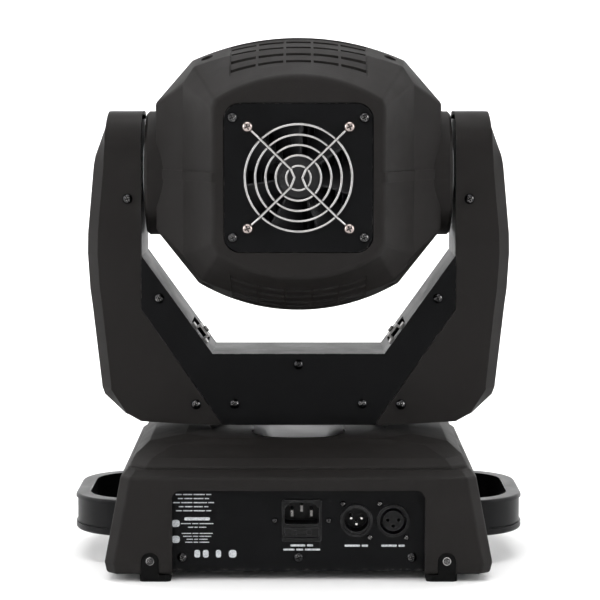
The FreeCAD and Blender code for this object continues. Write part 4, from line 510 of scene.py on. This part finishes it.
def bar(work, x, z, width, height):
    """Rounded flat bar of ink on the connector panel."""
    radius = min(width, height) * 0.35
    corners = []
    for turn, (sx, sz) in enumerate(((1, 1), (-1, 1), (-1, -1), (1, -1))):
        for step in range(4):
            angle = math.radians(turn * 90 + step * 30)
            corners.append((
                (x + sx * (width / 2 - radius) + radius * math.cos(angle)) * MM,
                (z + sz * (height / 2 - radius) + radius * math.sin(angle)) * MM,
            ))
    back = [work.verts.new((px, PANEL_FACE_Y + INK_DEPTH, pz)) for px, pz in corners]
    front = [work.verts.new((px, PANEL_FACE_Y - INK_DEPTH, pz)) for px, pz in corners]
    work.faces.new(back)
    work.faces.new(front)
    count = len(corners)
    for index in range(count):
        after = (index + 1) % count
        work.faces.new((back[index], back[after], front[after], front[index]))


def broken_line(work, x, z, width, height, parts, gap):
    """Row of bars of uneven length that stands in for a printed line."""
    shares = [1.0 + 0.45 * math.sin(2.4 * index + parts) for index in range(parts)]
    unit = (width - gap * (parts - 1)) / sum(shares)
    start = x - width / 2
    for share in shares:
        length = unit * share
        bar(work, start + length / 2, z, length, height)
        start += length + gap


def panel_marks(work):
    """Plain bars in the places of the panel's printed lines."""
    for index, width in enumerate((25.0, 22.0, 29.0, 21.0, 25.0)):
        broken_line(work, NOTICE_X, 61.0 - 2.9 * index, width, height=0.75, parts=4, gap=0.9)
    bar(work, INDENTED_X, 43.6, width=18.0, height=2.2)
    for index, width in enumerate((23.0, 13.0)):
        broken_line(work, INDENTED_X, 40.2 - 2.6 * index, width, height=0.65, parts=3, gap=0.8)
    for index, width in enumerate((22.0, 20.0, 15.0, 17.0)):
        broken_line(work, INDENTED_X, 33.2 - 2.1 * index, width, height=0.6, parts=3, gap=0.8)
    for z in (40.3, 28.9):
        bar(work, SIGN_X, z, width=5.6, height=5.0)
    for x, width in ((-71.5, 4.0), (-65.5, 4.0), (-56.5, 3.6), (-46.5, 5.4)):
        bar(work, x, 18.6, width, height=5.4)
    broken_line(work, 2.3, 24.6, width=16.0, height=1.5, parts=2, gap=1.2)
    broken_line(work, 2.3, 21.6, width=26.0, height=1.3, parts=3, gap=1.2)
    for x in (40.9, 66.8):
        broken_line(work, x, 24.4, width=16.5, height=1.5, parts=2, gap=1.2)


new_piece("panel_marks", panel_marks, INK, "base")


# ----------------------------------------------------------------- finish of CAD nodes
PIN_WIDTH = 3.0 * MM       # contact pins are narrower than this
FILTER_WIDTH = 25.0 * MM   # and the colour wheel's filters than this
dress_solids("iec_inlet", BLADE_METAL, lambda low, high: high.x - low.x < PIN_WIDTH)
dress_solids("xlr_input", PIN_METAL, lambda low, high: high.x - low.x < PIN_WIDTH)
dress_solids("color_wheel", MATERIALS["tinted_window"], lambda low, high: high.x - low.x < FILTER_WIDTH)

# Edge rounding in millimetres
SOFTENED = {
    "arm_cover_left": 1.1, "arm_cover_right": 1.1,
    "rear_panel": 0.3, "rear_plate": 0.35, "control_panel": 0.5, "fan_frame": 0.4, "base_tray": 0.3,
    "yoke_plate_rear": 0.25, "yoke_plate_front": 0.25, "yoke_band": 0.25,
    "iec_inlet": 0.3, "fuse_drawer": 0.3,
}
for node, width in SOFTENED.items():
    soften(node, width * MM)


# ------------------------------------------------------------------ floor and light
FLAT_R = 3.2          # flat part of the floor
CURVE_R = 1.2         # its curve up into the wall
WALL_TOP = 5.0
FLOOR_SIDES = 72
OBJECT_MIDDLE = (0.0, 0.0, 0.2)
WARM_WHITE = (1.0, 0.97, 0.94)
CAMERA_PLACE = (1.1 * MM, -1.710, 0.349)
CAMERA_TIP = 5.39     # degrees below level
CAMERA_LENS = 137.3   # millimetres on a 36 mm sensor


def make_floor():
    """Pale paper floor that curves up into a round wall."""
    work = bmesh.new()
    profile = [(0.01, 0.0), (1.5, 0.0), (FLAT_R, 0.0)]
    for step in range(1, 13):
        angle = math.radians(step * 7.5)
        profile.append((FLAT_R + CURVE_R * math.sin(angle), CURVE_R - CURVE_R * math.cos(angle)))
    profile.append((FLAT_R + CURVE_R, WALL_TOP))
    turns = [2 * math.pi * side / FLOOR_SIDES for side in range(FLOOR_SIDES)]
    rings = []
    for radius, z in profile:
        ring = [work.verts.new((radius * math.cos(turn), radius * math.sin(turn), z)) for turn in turns]
        rings.append(ring)
    for inner, outer in zip(rings, rings[1:]):
        for side in range(FLOOR_SIDES):
            after = (side + 1) % FLOOR_SIDES
            work.faces.new((inner[side], outer[side], outer[after], inner[after]))
    work.faces.new(rings[0])
    bmesh.ops.recalc_face_normals(work, faces=work.faces)
    mesh = bpy.data.meshes.new("floor")
    work.to_mesh(mesh)
    work.free()
    m = Shader("floor_paper", (0.90, 0.90, 0.90), 0.8)
    m.set_colour(m.mixed(m.noise(3.0, 2.0), (0.89, 0.89, 0.89), (0.91, 0.91, 0.91)))
    mesh.materials.append(m.done())
    for polygon in mesh.polygons:
        polygon.use_smooth = True
    floor = bpy.data.objects.new("floor", mesh)
    bpy.context.scene.collection.objects.link(floor)


def area_light(name, place, target, width, height, power, tint=(1.0, 1.0, 1.0)):
    """Soft box aimed at a point."""
    data = bpy.data.lights.new(name, "AREA")
    data.shape = "RECTANGLE"
    data.size = width
    data.size_y = height
    data.energy = power
    data.color = tint
    lamp = bpy.data.objects.new(name, data)
    lamp.location = place
    lamp.rotation_mode = "QUATERNION"
    lamp.rotation_quaternion = (Vector(target) - Vector(place)).to_track_quat("-Z", "Y")
    bpy.context.scene.collection.objects.link(lamp)


def make_lights():
    """Overhead box, warm key above the camera, a strip box each side and a wash on the wall all round."""
    world = bpy.data.worlds.new("studio")
    bpy.context.scene.world = world
    world.use_nodes = True
    background = world.node_tree.nodes["Background"]
    background.inputs["Color"].default_value = (1.0, 1.0, 1.0, 1.0)
    background.inputs["Strength"].default_value = 0.5
    area_light("top_box", (0.0, 0.2, 2.7), (0.0, 0.2, 0.0), width=2.6, height=2.4, power=56.0)
    area_light("key", (-0.7, -1.9, 1.8), OBJECT_MIDDLE, width=1.2, height=0.8, power=7.0, tint=WARM_WHITE)
    area_light("left_strip", (-2.1, -0.55, 0.9), OBJECT_MIDDLE, width=0.7, height=1.6, power=17.0)
    area_light("right_strip", (2.1, -0.55, 0.9), OBJECT_MIDDLE, width=0.7, height=1.6, power=13.0)
    for x in (-1.6, 1.6):
        area_light("wall_wash", (x, 1.4, 2.8), (x, 4.4, 0.7), width=1.6, height=0.8, power=85.0)
    area_light("near_wash", (0.0, -1.6, 3.0), (0.0, -4.4, 1.0), width=1.6, height=0.8, power=8.0)


def make_camera():
    """Long lens, level with the middle of the head and tipped slightly down."""
    data = bpy.data.cameras.new("camera")
    data.sensor_width = 36.0
    data.lens = CAMERA_LENS
    data.clip_start = 0.05
    data.clip_end = 50.0
    camera = bpy.data.objects.new("camera", data)
    camera.location = CAMERA_PLACE
    camera.rotation_euler = (math.radians(90.0 - CAMERA_TIP), 0.0, 0.0)
    bpy.context.scene.collection.objects.link(camera)
    bpy.context.scene.camera = camera


make_floor()
make_lights()
make_camera()
bpy.context.scene.view_settings.view_transform = "Standard"
